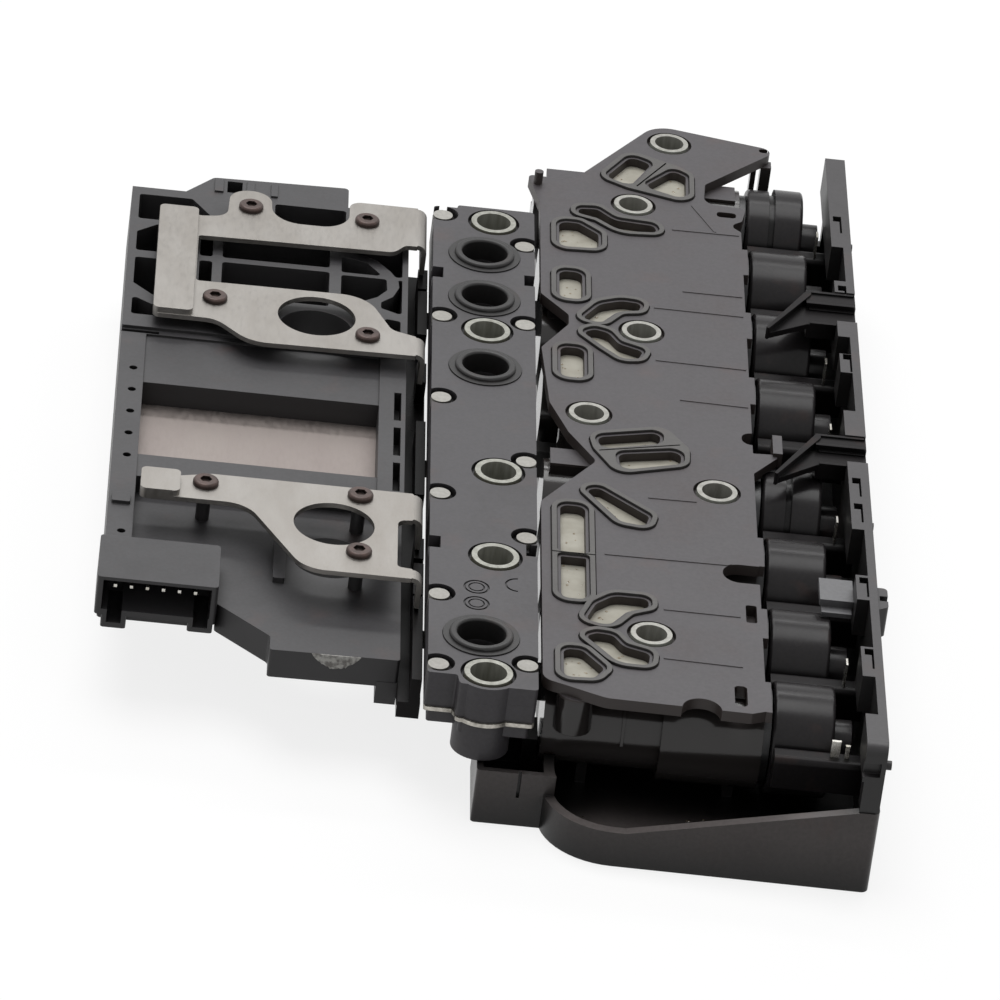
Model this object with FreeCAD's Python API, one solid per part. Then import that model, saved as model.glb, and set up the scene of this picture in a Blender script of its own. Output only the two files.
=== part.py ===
"""Transmission control module: controller, pressure-switch strip and solenoid manifold.

Millimetres. X runs from the controller on the left to the lead frame rail on the right, Y runs
away from the connector end, Z is up, and z = 0 is the underside of the base tub.
The pieces are laid out from the strip's left front region and moved at the end, so that the
origin lies under the middle of the whole module.
"""
import FreeCAD, Part
import math
import os

V = FreeCAD.Vector
UP = V(0, 0, 1)
RIGHT = V(1, 0, 0)

# Heights
PLATE_TOP = 28.0            # sealing face of the manifold plate and of the switch strip
PLATE_T = 2.3               # manifold plate
FLOOR_T = 2.5               # base tub floor
WALL_T = 2.0                # base tub walls
RAIL_TOP = 32.0             # top of the lead frame rail
RAIL_SEAT = 17.3            # top of the tub's right wall, where the rail stands
BOSS_SPLIT = 12.5           # where the tub's bosses meet the manifold's bosses
PLATE_UNDER = PLATE_TOP - PLATE_T

# Clearances
RUN_GAP = 0.08              # radial gap of a sliding spool or plunger
SEAT_GAP = 0.05             # radial gap of a piece that is pressed or pushed home
BODY_GAP = 0.25             # gap between neighbouring mouldings

# Solenoid valves: two banks of four, axes along X
VALVE_Z = 15.3              # axis height
VALVE_PITCH = 26.7
BANK_FAR_Y = 139.8          # first valve of the far bank
BANK_NEAR_Y = 23.3          # first valve of the near bank
VALVES_PER_BANK = 4
VALVE_Y = [start - k * VALVE_PITCH for start in (BANK_FAR_Y, BANK_NEAR_Y) for k in range(VALVES_PER_BANK)]
RIBBED_CANS = (0, VALVES_PER_BANK)
PLAIN_CANS = [k for k in range(len(VALVE_Y)) if k not in RIBBED_CANS]
FAR_Y = VALVE_Y[0]
NEAR_Y = VALVE_Y[-1]
BANK_GAP_Y = (VALVE_Y[VALVES_PER_BANK - 1] + VALVE_Y[VALVES_PER_BANK]) / 2

# Moulded valve tubes under the manifold plate
TUBE_X0 = 9.2
TUBE_SMALL_R = 8.4
TUBE_BIG_R = 10.1
TUBE_STEP_X = 30.2          # groove between the small and the big stretch
TUBE_GROOVE = 1.3
TUBE_RIB = (24.0, 24.6)     # thin rib over the small stretch
TUBE_RIB_PROUD = 0.4
TUBE_X1 = 50.6
TUBE_END_T = 2.0            # closed left end

# Valve sleeve, spool and spring
SLEEVE_R = 6.5
SLEEVE_END_T = 1.2
SLEEVE_FLANGE_R = 9.2
SLEEVE_FLANGE_T = 1.4
SPOOL_R = 3.5
SPOOL_NECK_R = 2.2
SPOOL_TRAVEL = 1.5
SPRING_ROOM = 4.6           # length of the spring at rest
SPRING_WIRE_R = 0.35
SPRING_TURNS = 4
WIRE_SIDES = 8              # the wire's section is drawn with this many sides
ORING_R = 0.6               # thickness radius of the sleeve seals

# Solenoid can and coil
CAN_X0 = TUBE_X1 + SLEEVE_FLANGE_T + 0.2
CAN_LENGTH = 11.7
CAN_R = 10.6
CAN_WALL = 1.0
CAN_RIB_R = 11.1            # larger band of a ribbed can
CAN_RIB_GROOVE = 1.2
CAN_NECK_R = 4.6
CAN_NECK_LENGTH = 3.8
COIL_INNER_R = 5.7
ARMATURE_R = 5.2
ARMATURE_LENGTH = 6.0
CAN_X1 = CAN_X0 + CAN_LENGTH

# Compression limiters
PLATE_BUSH_R = 4.0
PLATE_BUSH_BORE = 3.0
STRIP_BUSH_R = 4.6
STRIP_BUSH_BORE = 3.5
BUSH_PROUD = 0.2            # height of a limiter above the sealing face
BUSH_MOAT = 0.7             # width of the recess round a limiter
BUSH_MOAT_DEPTH = 1.2
BOSS_WALL = 1.6


def between(k):
    """Middle of the gap between valve k and the next one."""
    return (VALVE_Y[k] + VALVE_Y[k + 1]) / 2


PLATE_BUSHES = [
    (35.8, FAR_Y + 15.4),
    (27.8, between(0)),
    (28.7, between(2) - 0.2),
    (17.7, BANK_GAP_Y - 4.0),
    (42.6, between(4) + 1.6),
    (28.8, between(6) - 1.2),
]

# Switch strip
STRIP_X0 = -13.6
STRIP_X1 = TUBE_X0 - 2.0
STRIP_Y0 = -69.2
STRIP_Y1 = 118.6
STRIP_COVER_T = 3.6
STRIP_BODY_T = 3.8
GASKET_T = 0.8
GASKET_PROUD = 0.45         # at the front only
LOWER_INSET = 0.8
LOWER_BODY_T = 3.0
STRIP_BOSS_R = 6.1
STRIP_BOSS_Z = 12.0         # underside of the strip's bolt bosses
COVER_Z = PLATE_TOP - STRIP_COVER_T
BODY_Z = COVER_Z - STRIP_BODY_T
GASKET_Z = BODY_Z - GASKET_T
LOWER_Z = GASKET_Z - LOWER_BODY_T
STRIP_BUSHES = [(-1.2, 112.6), (-2.5, 66.9), (-0.3, 10.9), (-0.9, -21.6), (-2.2, -64.5)]
PORTS = [(-3.1, 98.2), (-3.1, 79.9), (-2.9, 51.6), (-3.6, -51.5)]
PORT_R = 4.6
PORT_RING_R = 6.1
PORT_LIP_R = 7.3
PORT_RING_PROUD = 1.0
PORT_LIP_T = 0.9
PLUNGER_R = 4.5
PLUNGER_T = 1.6
PLUNGER_TRAVEL = 0.4
STAKES_LEFT = (114.4, 71.7, 38.7, 1.1, -36.9, -62.4)
STAKES_RIGHT = (104.2, 71.4, 16.4, -12.9, -60.0)
STAKE_R = 2.0
STAKE_MARGIN = 2.0          # from the strip's side edge to a stake's axis
STAKE_SINK_R = 3.1
STAKE_SINK = 1.8
STAKE_LOW = 0.3             # pin's top below the sealing face
CLIP_TABS_Y = (89.3, -18.1)
CLIP_TAB = (1.9, 3.8)
CLIP_TAB_LOW = 2.4          # tab's top below the sealing face

# Controller
CTRL_X1 = STRIP_X0 - 4.8    # right side of the controller
CTRL_WIDTH = 57.0
CTRL_BOTTOM = 11.8
COVER_PLATE_T = 1.5
LOBE_BOTTOM = 15.5
LOBE_TOP = 21.5
FRAME_TOP = 26.3
MID_FRAME_TOP = 25.6
SLAB_TOP = 25.1
FAR_SECTION_Y = (57.5, 115.8)
WINDOW_Y = (8.9, 37.3)
SLAB_Y0 = 0.5
FRAME_LEFT = 5.0
FRAME_RIGHT = 5.3
VENT_Y = (41.8, 33.2, 24.6, 16.0, 7.4, -21.7)
VENT_R = 0.8
SIDE_SLOT_Y = (31.2, 42.2)  # first slot in the right side of the frame
SIDE_SLOT_PITCH = 13.8
HEAT_PLATE_T = 1.5
WINDOW_DEPTH = 5.0
BOARD_T = 1.6
CTRL_X0 = CTRL_X1 - CTRL_WIDTH
HEAT_TOP = SLAB_TOP - WINDOW_DEPTH
HEAT_Z = HEAT_TOP - HEAT_PLATE_T
BOARD_Z = CTRL_BOTTOM + COVER_PLATE_T + 1.0
POCKET_FLOOR = 17.5

# Connector shroud
CONN_PROUD = 0.9            # how far the shroud stands out past the controller's left side
CONN_WIDTH = 23.0
CONN_Y = (-40.6, -24.9)
CONN_WALL = 1.2
CONN_TOP_T = 0.7
CONN_SOCKET_DEPTH = 12.0
CONN_FLOOR_Z = 19.2
PIN_COUNT = 6
PIN_PITCH = 3.05
PIN_SIDE = 0.64
PIN_LENGTH = 8.0
PIN_Z = 22.2

# Brackets, bent from sheet
SHEET_T = 1.0
BRACKET_Z = 28.2            # underside of the sheet
BEND_R = 1.0
LIP_Z = 22.6                # lower edge of the turned-down ends
BEND_X = STRIP_X0 - 1.3 - SHEET_T - BEND_R
HEM_RISE = 0.3
BOLT_WINDOW_R = 7.8
SCREW_HEAD_R = 2.5
SCREW_HEAD_T = 1.1
SCREW_ROUND = 0.6           # rounding of the head's rim
SCREW_R = 0.75
SOCKET_R = 1.2              # six-sided recess, from its middle to a corner
SOCKET_DEPTH = 0.7
POST_R = 1.35

# Lead frame rail
RAIL_WALL_T = 1.7
RAIL_X1 = CAN_X1 + 8.2      # outer face
PAD_X0 = RAIL_X1 - 4.1
PAD_T = 8.0
RAIL_END = 8.4              # rail past the first valve's axis
PAD_HOLE = 1.7
PAD_SLIT = (0.4, 6.0)       # width and length of the slit that leads from a square hole
HOOK_PROUD = 2.0

# Arms let into the rail
ARM_TOP = RAIL_TOP - 0.2
ARM_SEAT = ARM_TOP - 4.5    # floor of the notch that an arm sits in
ARM_STEP = 1.4
ARM_RIDGE = 0.35
ARM_RIDGE_W = 0.7
ARM_REACH = 10.0            # from the rail's outer face
ARM_FIN = (8.6, 17.5)       # how far the fin's point lies from the bar's far corner
ARM_FIN_T = 1.2
ARM_NEAR_Y = (VALVE_Y[2] - 7.8, VALVE_Y[4] - 1.4)
ARM_WIDTH = (11.6, 9.9)

# Base tub
TUB_X0 = TUBE_X0 + 0.9
TUB_X1 = RAIL_X1 + 0.3
TUB_FRONT = NEAR_Y - 27.2
TUB_FAR = FAR_Y + 8.2
TUB_CORNER_R = 14.0
FRONT_LOW_Z = 7.4           # top of the front wall at its left end
FRONT_LOW_X = 26.0
BLOCK_X0 = TUB_X0 - 12.6
BLOCK_FRONT = TUB_FRONT + 11.5
BLOCK_Z = 11.5
OUTRIGGER_W = 4.0


def box(x0, x1, y0, y1, z0, z1):
    """Upright box between two corners."""
    return Part.makeBox(x1 - x0, y1 - y0, z1 - z0, V(x0, y0, z0))


def post(x, y, r, z0, z1):
    """Upright cylinder."""
    return Part.makeCylinder(r, z1 - z0, V(x, y, z0), UP)


def barrel(y, z, r, x0, x1):
    """Cylinder along X."""
    return Part.makeCylinder(r, x1 - x0, V(x0, y, z), RIGHT)


def outline(corners, z=0.0):
    """Closed wire through (x, y, radius) corners, each rounded by a tangent arc."""
    count = len(corners)
    arcs = []
    for i, (x, y, r) in enumerate(corners):
        here = V(x, y, z)
        before = V(corners[i - 1][0], corners[i - 1][1], z) - here
        after = V(corners[(i + 1) % count][0], corners[(i + 1) % count][1], z) - here
        half_turn = (math.pi - before.getAngle(after)) / 2
        room = 0.49 * min(before.Length, after.Length)
        reach = min(r * math.tan(half_turn), room)
        start = here + before.normalize() * reach
        end = here + after.normalize() * reach
        bisector = (before + after).normalize()
        radius = reach / math.tan(half_turn)
        middle = here + bisector * (math.hypot(radius, reach) - radius)
        arcs.append((start, middle, end))
    edges = []
    for i, (start, middle, end) in enumerate(arcs):
        if start.distanceToPoint(end) > 1e-6:
            edges.append(Part.Arc(start, middle, end).toShape())
        following = arcs[(i + 1) % count][0]
        if end.distanceToPoint(following) > 1e-6:
            edges.append(Part.LineSegment(end, following).toShape())
    return Part.Wire(edges)


def prism(corners, z0, z1):
    """Rounded outline raised from z0 to z1."""
    return Part.Face(outline(corners, z0)).extrude(V(0, 0, z1 - z0))


def grown_prism(corners, margin, z0, z1):
    """The same, with the outline moved outwards by a margin."""
    return Part.Face(outline(corners, z0).makeOffset2D(margin)).extrude(V(0, 0, z1 - z0))


def rounded_box(x0, x1, y0, y1, z0, z1, r):
    """Box with its four upright edges rounded."""
    return prism([(x0, y0, r), (x1, y0, r), (x1, y1, r), (x0, y1, r)], z0, z1)


def side_profile(points, y0, y1):
    """Outline in X and Z carried along Y."""
    wire = Part.makePolygon([V(x, y0, z) for x, z in points + points[:1]])
    return Part.Face(wire).extrude(V(0, y1 - y0, 0))


def join(shapes):
    """One solid from pieces that touch."""
    return shapes[0].multiFuse(shapes[1:]).removeSplitter()


def carve(shape, tools):
    """Shape with the tools taken away."""
    return shape.cut(Part.makeCompound(tools))


def separate(shapes):
    """Several solids kept apart in one node."""
    return Part.makeCompound(shapes)


def tube(x, y, outer, inner, z0, z1):
    """Upright pipe."""
    return post(x, y, outer, z0, z1).cut(post(x, y, inner, z0 - 1, z1 + 1))


PIECES = {}

# Filter windows. Each outline is given from the valve it belongs to: (valve, corners).
W_R = 1.8
WINDOWS = [
    (0, [(22.3, -2.2, W_R), (27.3, -5.2, W_R), (31.9, 5.2, W_R), (27.6, 7.7, W_R)]),
    (0, [(30.9, -3.9, 1.2), (36.4, 3.4, 1.5), (39.0, 1.2, 1.2), (38.9, -9.0, 1.8), (31.6, -5.6, 1.2)]),
    (1, [(16.4, 9.3, 1.3), (20.2, 9.9, 1.6), (23.8, 5.8, 4.0), (31.9, 5.1, 1.5), (32.7, 2.2, 1.5),
         (25.2, 1.3, 5.0), (20.6, 5.7, 3.0), (16.4, 7.2, 1.2)]),
    (1, [(12.3, 2.9, 2.0), (16.3, 2.9, 1.5), (20.4, -1.1, 1.5), (20.4, -7.2, W_R), (12.3, -7.8, W_R)]),
    (2, [(12.2, 8.6, W_R), (16.9, 8.6, W_R), (16.9, -2.8, W_R), (12.2, -2.8, W_R)]),
    (2, [(16.7, -10.5, 1.2), (20.4, -3.9, 4.0), (24.8, -1.6, 4.0), (28.9, -2.0, 1.3), (28.3, -5.1, 1.3),
         (24.0, -6.2, 4.0), (20.4, -11.8, 1.8)]),
    (3, [(16.9, 10.5, 1.2), (19.2, 12.2, 1.5), (21.9, 11.3, 2.5), (24.0, 7.1, 3.0), (28.9, 4.9, 1.2),
         (27.9, 1.7, 1.5), (24.8, 1.1, 2.0), (21.0, 5.3, 3.0)]),
    (3, [(12.2, 3.7, W_R), (17.0, 3.7, W_R), (17.0, -8.5, W_R), (12.2, -8.5, W_R)]),
    (4, [(19.2, 5.0, 1.9), (31.9, 9.2, 1.9), (31.6, 4.7, 1.9), (20.0, 0.5, 1.9)]),
    (4, [(23.3, -0.9, 1.9), (35.8, 2.6, 1.9), (35.7, -2.4, 1.9), (23.8, -7.1, 1.9)]),
    (5, [(16.8, 10.6, 1.3), (19.3, 11.8, 1.6), (29.1, 2.6, 1.3), (28.3, -1.2, 1.5), (23.6, -0.4, 2.5)]),
    (5, [(11.7, 4.0, W_R), (16.6, 4.0, W_R), (16.6, -13.8, 0.4), (11.7, -13.8, 0.4)]),
    (5, [(11.7, -15.6, 0.4), (16.6, -15.6, 0.4), (16.6, -31.0, W_R), (11.7, -31.0, W_R)]),
    (6, [(16.3, -11.5, 1.5), (18.3, -5.5, 3.0), (21.8, -1.8, 3.5), (28.4, -1.8, 1.5), (28.4, -4.9, 1.3),
         (24.2, -7.3, 4.0), (20.6, -13.2, 2.5)]),
    (7, [(16.2, 9.1, 1.2), (18.4, 10.6, 1.5), (21.4, 10.3, 2.0), (23.4, 6.6, 3.0), (28.4, 4.8, 1.5),
         (28.1, 0.5, 1.5), (22.4, 0.6, 4.0), (18.6, 5.9, 3.0)]),
    (7, [(12.0, 3.8, 1.6), (15.5, 3.8, W_R), (19.7, -2.3, 1.6), (17.7, -5.9, 2.0), (12.0, -6.4, 1.6)]),
]
# Neighbouring windows that share one bead: the outline round both, and the thin line between them
SHARED_BEADS = [
    (0, [(22.3, -2.2, W_R), (27.6, 7.7, W_R), (36.4, 3.4, 1.5), (39.0, 1.2, 1.2), (38.9, -9.0, 1.8), (27.3, -5.2, W_R)]),
    (4, [(19.2, 5.0, 1.9), (31.9, 9.2, 1.9), (35.8, 2.6, 1.9), (35.7, -2.4, 1.9), (23.8, -7.1, 1.9), (20.0, 0.5, 1.9)]),
    (5, [(11.7, 4.0, W_R), (16.6, 4.0, W_R), (16.6, -31.0, W_R), (11.7, -31.0, W_R)]),
]
BEAD_LINES = [(0, (28.6, -5.9), (34.9, 5.6)), (4, (19.5, -0.9), (35.6, 4.3)), (5, (10.0, -14.7), (18.3, -14.7))]
BEAD_LINE_W = 0.35
BEAD_LINE_DEPTH = 0.4
SEAL_INNER = 0.7            # from the window's edge to the bead
SEAL_WIDTH = 1.0
SEAL_PROUD = 0.5
SEAL_SEAT = 0.6             # depth of the bead's groove
SCREEN_T = 0.4
SCREEN_Z = PLATE_UNDER + 0.1


def on_plate(outlines):
    """Outlines given from their valves, at their places on the plate."""
    return [[(x, VALVE_Y[k] + dy, r) for x, dy, r in corners] for k, corners in outlines]


def bead_rings(inner, outer, z0, z1):
    """Rings round all windows; neighbours that touch become one."""
    outside = join([grown_prism(w, outer, z0, z1) for w in on_plate(WINDOWS + SHARED_BEADS)])
    return carve(outside, [grown_prism(w, inner, z0 - 1, z1 + 1) for w in on_plate(WINDOWS)])


def plate_outline():
    """Manifold plate, clockwise from its far left corner."""
    tip = FAR_Y + 23.0
    return [
        (5.9, FAR_Y - 4.6, 1.0), (15.2, FAR_Y - 5.2, 4.0), (33.0, tip, 6.0),
        (58.9, FAR_Y + 17.0, 2.2), (43.0, FAR_Y - 1.3, 1.6), (42.6, FAR_Y - 9.6, 2.6),
        (51.4, FAR_Y - 10.2, 1.0), (50.4, FAR_Y - 15.8, 1.0), (47.8, FAR_Y - 18.2, 1.6),
        (50.1, FAR_Y - 20.6, 0.8), (TUBE_X1 - 0.5, BANK_GAP_Y - 13.5, 0.3), (55.9, BANK_GAP_Y - 13.1, 1.0),
        (TUBE_X1 - 0.5, BANK_GAP_Y - 21.4, 0.6), (TUBE_X1 - 0.5, NEAR_Y - 11.8, 0.3), (47.4, NEAR_Y - 13.1, 0.8),
        (20.0, NEAR_Y - 12.6, 6.0), (12.0, NEAR_Y - 9.2, 3.0), (8.0, NEAR_Y - 7.6, 3.0),
        (8.0, NEAR_Y + 58.2, 2.0), (19.0, BANK_GAP_Y - 22.6, 2.0), (13.6, BANK_GAP_Y - 12.2, 2.0),
        (9.9, BANK_GAP_Y - 1.0, 3.0), (8.4, BANK_GAP_Y + 21.0, 1.5), (14.0, BANK_GAP_Y + 31.5, 2.0),
        (14.0, BANK_GAP_Y + 35.4, 2.0), (8.4, BANK_GAP_Y + 43.3, 1.5), (8.4, FAR_Y - 16.1, 2.0),
    ]


# Shallow seams moulded into the plate's top: start and end
SEAMS = [
    ((35.7, FAR_Y - 22.4), (49.6, FAR_Y - 22.2)), ((31.4, VALVE_Y[2] - 3.0), (49.6, VALVE_Y[2] - 3.2)),
    ((37.4, VALVE_Y[2] + 5.0), (49.6, VALVE_Y[2] + 5.0)), ((40.1, FAR_Y - 11.1), (44.7, FAR_Y - 21.8)),
    ((29.0, VALVE_Y[4] - 16.7), (38.5, VALVE_Y[4] - 16.5)), ((20.2, VALVE_Y[5] - 13.2), (45.0, VALVE_Y[5] - 12.8)),
    ((31.3, VALVE_Y[6] - 5.0), (46.0, VALVE_Y[6] - 5.1)), ((31.0, VALVE_Y[7] + 3.8), (46.0, VALVE_Y[7] + 3.3)),
    ((31.4, VALVE_Y[3] + 2.0), (49.6, VALVE_Y[3] + 1.6)), ((36.0, BANK_GAP_Y + 5.0), (49.6, BANK_GAP_Y + 4.6)),
]
SEAM_W = 0.5
SEAM_RISE = 0.15


def bar_between(start, end, width, z0, z1):
    """Straight bar seen from above, between two points."""
    a = V(start[0], start[1], 0)
    b = V(end[0], end[1], 0)
    side = (b - a).cross(UP).normalize() * (width / 2)
    points = [a + side, b + side, b - side, a - side]
    return prism([(p.x, p.y, 0.1) for p in points], z0, z1)


def valve_tube(y):
    """Outside of one moulded valve tube, with the webs that carry the plate."""
    small = barrel(y, VALVE_Z, TUBE_SMALL_R, TUBE_X0, TUBE_X1)
    big = barrel(y, VALVE_Z, TUBE_BIG_R, TUBE_STEP_X + TUBE_GROOVE, TUBE_X1)
    rib_r = TUBE_SMALL_R + TUBE_RIB_PROUD
    rib = barrel(y, VALVE_Z, rib_r, TUBE_RIB[0], TUBE_RIB[1]).common(
        box(TUBE_RIB[0], TUBE_RIB[1], y - rib_r, y + rib_r, VALVE_Z, VALVE_Z + rib_r))
    web = box(TUBE_X0 + 1, TUBE_X1 - 1, y - 3.0, y + 3.0, VALVE_Z, PLATE_UNDER + 0.1)
    return [small, big, rib, web]


def manifold_body():
    """Plate, valve tubes, bosses, hooks and legs: one moulding."""
    solids = [prism(plate_outline(), PLATE_UNDER, PLATE_TOP)]
    for k, y in enumerate(VALVE_Y):
        solids += valve_tube(y)
        if k in PLAIN_CANS:
            solids.append(box(TUBE_X1 - 0.6, TUBE_X1 + 0.6, y - 12.0, y - 1.2, PLATE_UNDER, PLATE_TOP))
    for x, y in PLATE_BUSHES:
        solids.append(post(x, y, PLATE_BUSH_R + BOSS_WALL, BOSS_SPLIT, PLATE_UNDER + 0.1))
    solids.append(post(14.6, NEAR_Y - 7.4, 3.6, VALVE_Z + 2.6, PLATE_UNDER + 0.1))
    # hooked tab over the first near valve
    solids.append(box(54.0, 55.9, BANK_GAP_Y - 14.0, BANK_GAP_Y - 6.8, PLATE_UNDER, PLATE_TOP + 0.8))
    # locating pin at the far left corner, and the legs under the far tip
    solids.append(post(8.0, FAR_Y - 8.0, 0.9, PLATE_TOP - 0.5, PLATE_TOP + 2.8))
    solids.append(box(53.4, 54.5, FAR_Y + 12.8, FAR_Y + 15.6, VALVE_Z, PLATE_UNDER + 0.1))
    solids.append(box(55.4, 57.6, FAR_Y + 13.2, FAR_Y + 16.0, VALVE_Z - 3, PLATE_UNDER + 0.1))
    solids.append(box(7.4, 10.4, FAR_Y - 13.0, FAR_Y - 5.6, VALVE_Z + 2, PLATE_UNDER + 0.1))
    solids.append(box(7.6, 11.0, FAR_Y - 13.0, FAR_Y, VALVE_Z, VALVE_Z + 4))
    solids += [bar_between(start, end, SEAM_W, PLATE_TOP - 0.5, PLATE_TOP + SEAM_RISE) for start, end in SEAMS]
    body = join(solids)

    tools = [grown_prism(w, 0.0, PLATE_UNDER - 2.5, PLATE_TOP + 1) for w in on_plate(WINDOWS)]
    for y in VALVE_Y:
        tools.append(barrel(y, VALVE_Z, SLEEVE_R + SEAT_GAP, TUBE_X0 + TUBE_END_T, TUBE_X1 + 5))
        tools.append(barrel(y, VALVE_Z, CAN_R + BODY_GAP, CAN_X0 - BODY_GAP, CAN_X1))
    for x, y in PLATE_BUSHES:
        tools.append(post(x, y, PLATE_BUSH_R + SEAT_GAP, 0.0, PLATE_TOP + 1))
        tools.append(post(x, y, PLATE_BUSH_R + BUSH_MOAT, PLATE_TOP - BUSH_MOAT_DEPTH, PLATE_TOP + 1))
    # edge notches, slots and the small hole in the tip
    front = NEAR_Y - 13.0
    tools.append(post(37.95, front - 0.2, 3.75, PLATE_UNDER - 0.1, PLATE_TOP + 1))
    tools.append(rounded_box(43.0, 56.0, VALVE_Y[5] - 19.0, VALVE_Y[5] - 12.2, PLATE_UNDER - 0.1, PLATE_TOP + 1, 3.3))
    tools.append(rounded_box(48.0, 53.6, BANK_GAP_Y - 10.2, BANK_GAP_Y - 5.6, PLATE_UNDER - 0.1, PLATE_TOP + 1, 2.0))
    tools.append(rounded_box(44.2, 46.6, front + 2.2, front + 9.4, PLATE_UNDER - 0.1, PLATE_TOP + 1, 0.9))
    tools.append(rounded_box(47.1, 49.2, VALVE_Y[6] - 6.8, VALVE_Y[6] - 0.4, PLATE_UNDER - 0.1, PLATE_TOP + 1, 0.5))
    tools.append(rounded_box(45.2, 49.2, FAR_Y - 14.8, FAR_Y - 12.6, PLATE_UNDER - 0.1, PLATE_TOP + 1, 0.8))
    tools.append(rounded_box(54.8, 56.8, FAR_Y + 15.6, FAR_Y + 17.2, PLATE_TOP - 1.2, PLATE_TOP + 1, 0.7))
    body = carve(body, tools)
    groove = bead_rings(SEAL_INNER - 0.1, SEAL_INNER + SEAL_WIDTH + 0.2, PLATE_TOP - SEAL_SEAT, PLATE_TOP + 0.1)
    return body.cut(groove)


PIECES["manifold_body"] = manifold_body()


def window_seals():
    """Beads round the windows, with a thin line where two windows share one."""
    beads = bead_rings(SEAL_INNER, SEAL_INNER + SEAL_WIDTH, PLATE_TOP - SEAL_SEAT, PLATE_TOP + SEAL_PROUD)
    lines = []
    for k, start, end in BEAD_LINES:
        a = (start[0], VALVE_Y[k] + start[1])
        b = (end[0], VALVE_Y[k] + end[1])
        lines.append(bar_between(a, b, BEAD_LINE_W, PLATE_TOP + SEAL_PROUD - BEAD_LINE_DEPTH, PLATE_TOP + 2))
    return carve(beads, lines)


PIECES["window_seals"] = window_seals()
PIECES["filter_screens"] = separate([
    Part.Face(outline(w, SCREEN_Z).makeOffset2D(-SEAT_GAP)).extrude(V(0, 0, SCREEN_T)) for w in on_plate(WINDOWS)])
PIECES["plate_bushings"] = separate([
    tube(x, y, PLATE_BUSH_R, PLATE_BUSH_BORE, BUSH_PROUD, PLATE_TOP + BUSH_PROUD) for x, y in PLATE_BUSHES])


def sleeve(y):
    """Valve sleeve: closed left end, cross ports, seal grooves and a flange on the right."""
    x0 = TUBE_X0 + TUBE_END_T + SEAT_GAP
    solid = join([barrel(y, VALVE_Z, SLEEVE_R, x0, TUBE_X1 + 0.1),
                  barrel(y, VALVE_Z, SLEEVE_FLANGE_R, TUBE_X1, TUBE_X1 + SLEEVE_FLANGE_T)])
    tools = [barrel(y, VALVE_Z, SPOOL_R + RUN_GAP, x0 + SLEEVE_END_T, CAN_X0 + 1),
             barrel(y, VALVE_Z, 1.2, x0 - 1, x0 + 2)]
    for x in ORING_X:
        ring = barrel(y, VALVE_Z, SLEEVE_R + 1, x - ORING_R - 0.1, x + ORING_R + 0.1)
        tools.append(ring.cut(barrel(y, VALVE_Z, SLEEVE_R - 2 * ORING_R, x - 2, x + 2)))
    for x in PORT_X:
        tools.append(post(x, y, 1.3, VALVE_Z - SLEEVE_R - 1, VALVE_Z + SLEEVE_R + 1))
    return carve(solid, tools)


ORING_X = (TUBE_X0 + 10.0, TUBE_X1 - 16.0, TUBE_X1 - 4.0)
PORT_X = (TUBE_X0 + 15.5, TUBE_X1 - 22.0, TUBE_X1 - 10.0)
SPOOL_X0 = TUBE_X0 + TUBE_END_T + SEAT_GAP + SLEEVE_END_T + SPRING_ROOM
ARMATURE_X0 = CAN_X0 + CAN_WALL + SPOOL_TRAVEL + 0.5


def spool(y):
    """Spool with three lands and its armature: one turned piece."""
    lands_end = TUBE_X1 - 1.0
    land = (lands_end - SPOOL_X0) / 5
    solids = [barrel(y, VALVE_Z, SPOOL_NECK_R, SPOOL_X0, ARMATURE_X0 + 1)]
    for k in (0, 2, 4):
        solids.append(barrel(y, VALVE_Z, SPOOL_R, SPOOL_X0 + k * land, SPOOL_X0 + (k + 1) * land))
    solids.append(barrel(y, VALVE_Z, ARMATURE_R, ARMATURE_X0, ARMATURE_X0 + ARMATURE_LENGTH))
    return join(solids)


def spring(y):
    """Return spring between the sleeve's closed end and the spool."""
    mean_r = SPOOL_R - SPRING_WIRE_R - 0.3
    length = SPRING_ROOM - 2 * SPRING_WIRE_R - 0.1
    helix = Part.makeHelix(length / SPRING_TURNS, length, mean_r)
    angles = [math.pi * (2 * k + 1) / WIRE_SIDES for k in range(WIRE_SIDES + 1)]
    ring = Part.makePolygon([V(mean_r + SPRING_WIRE_R * math.cos(a), 0, SPRING_WIRE_R * math.sin(a)) for a in angles])
    coil = Part.Wire(helix.Edges).makePipeShell([ring], True, True)
    coil.rotate(V(0, 0, 0), V(0, 1, 0), 90)
    coil.translate(V(SPOOL_X0 - SPRING_ROOM + SPRING_WIRE_R + 0.05, y, VALVE_Z))
    return coil


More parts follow.
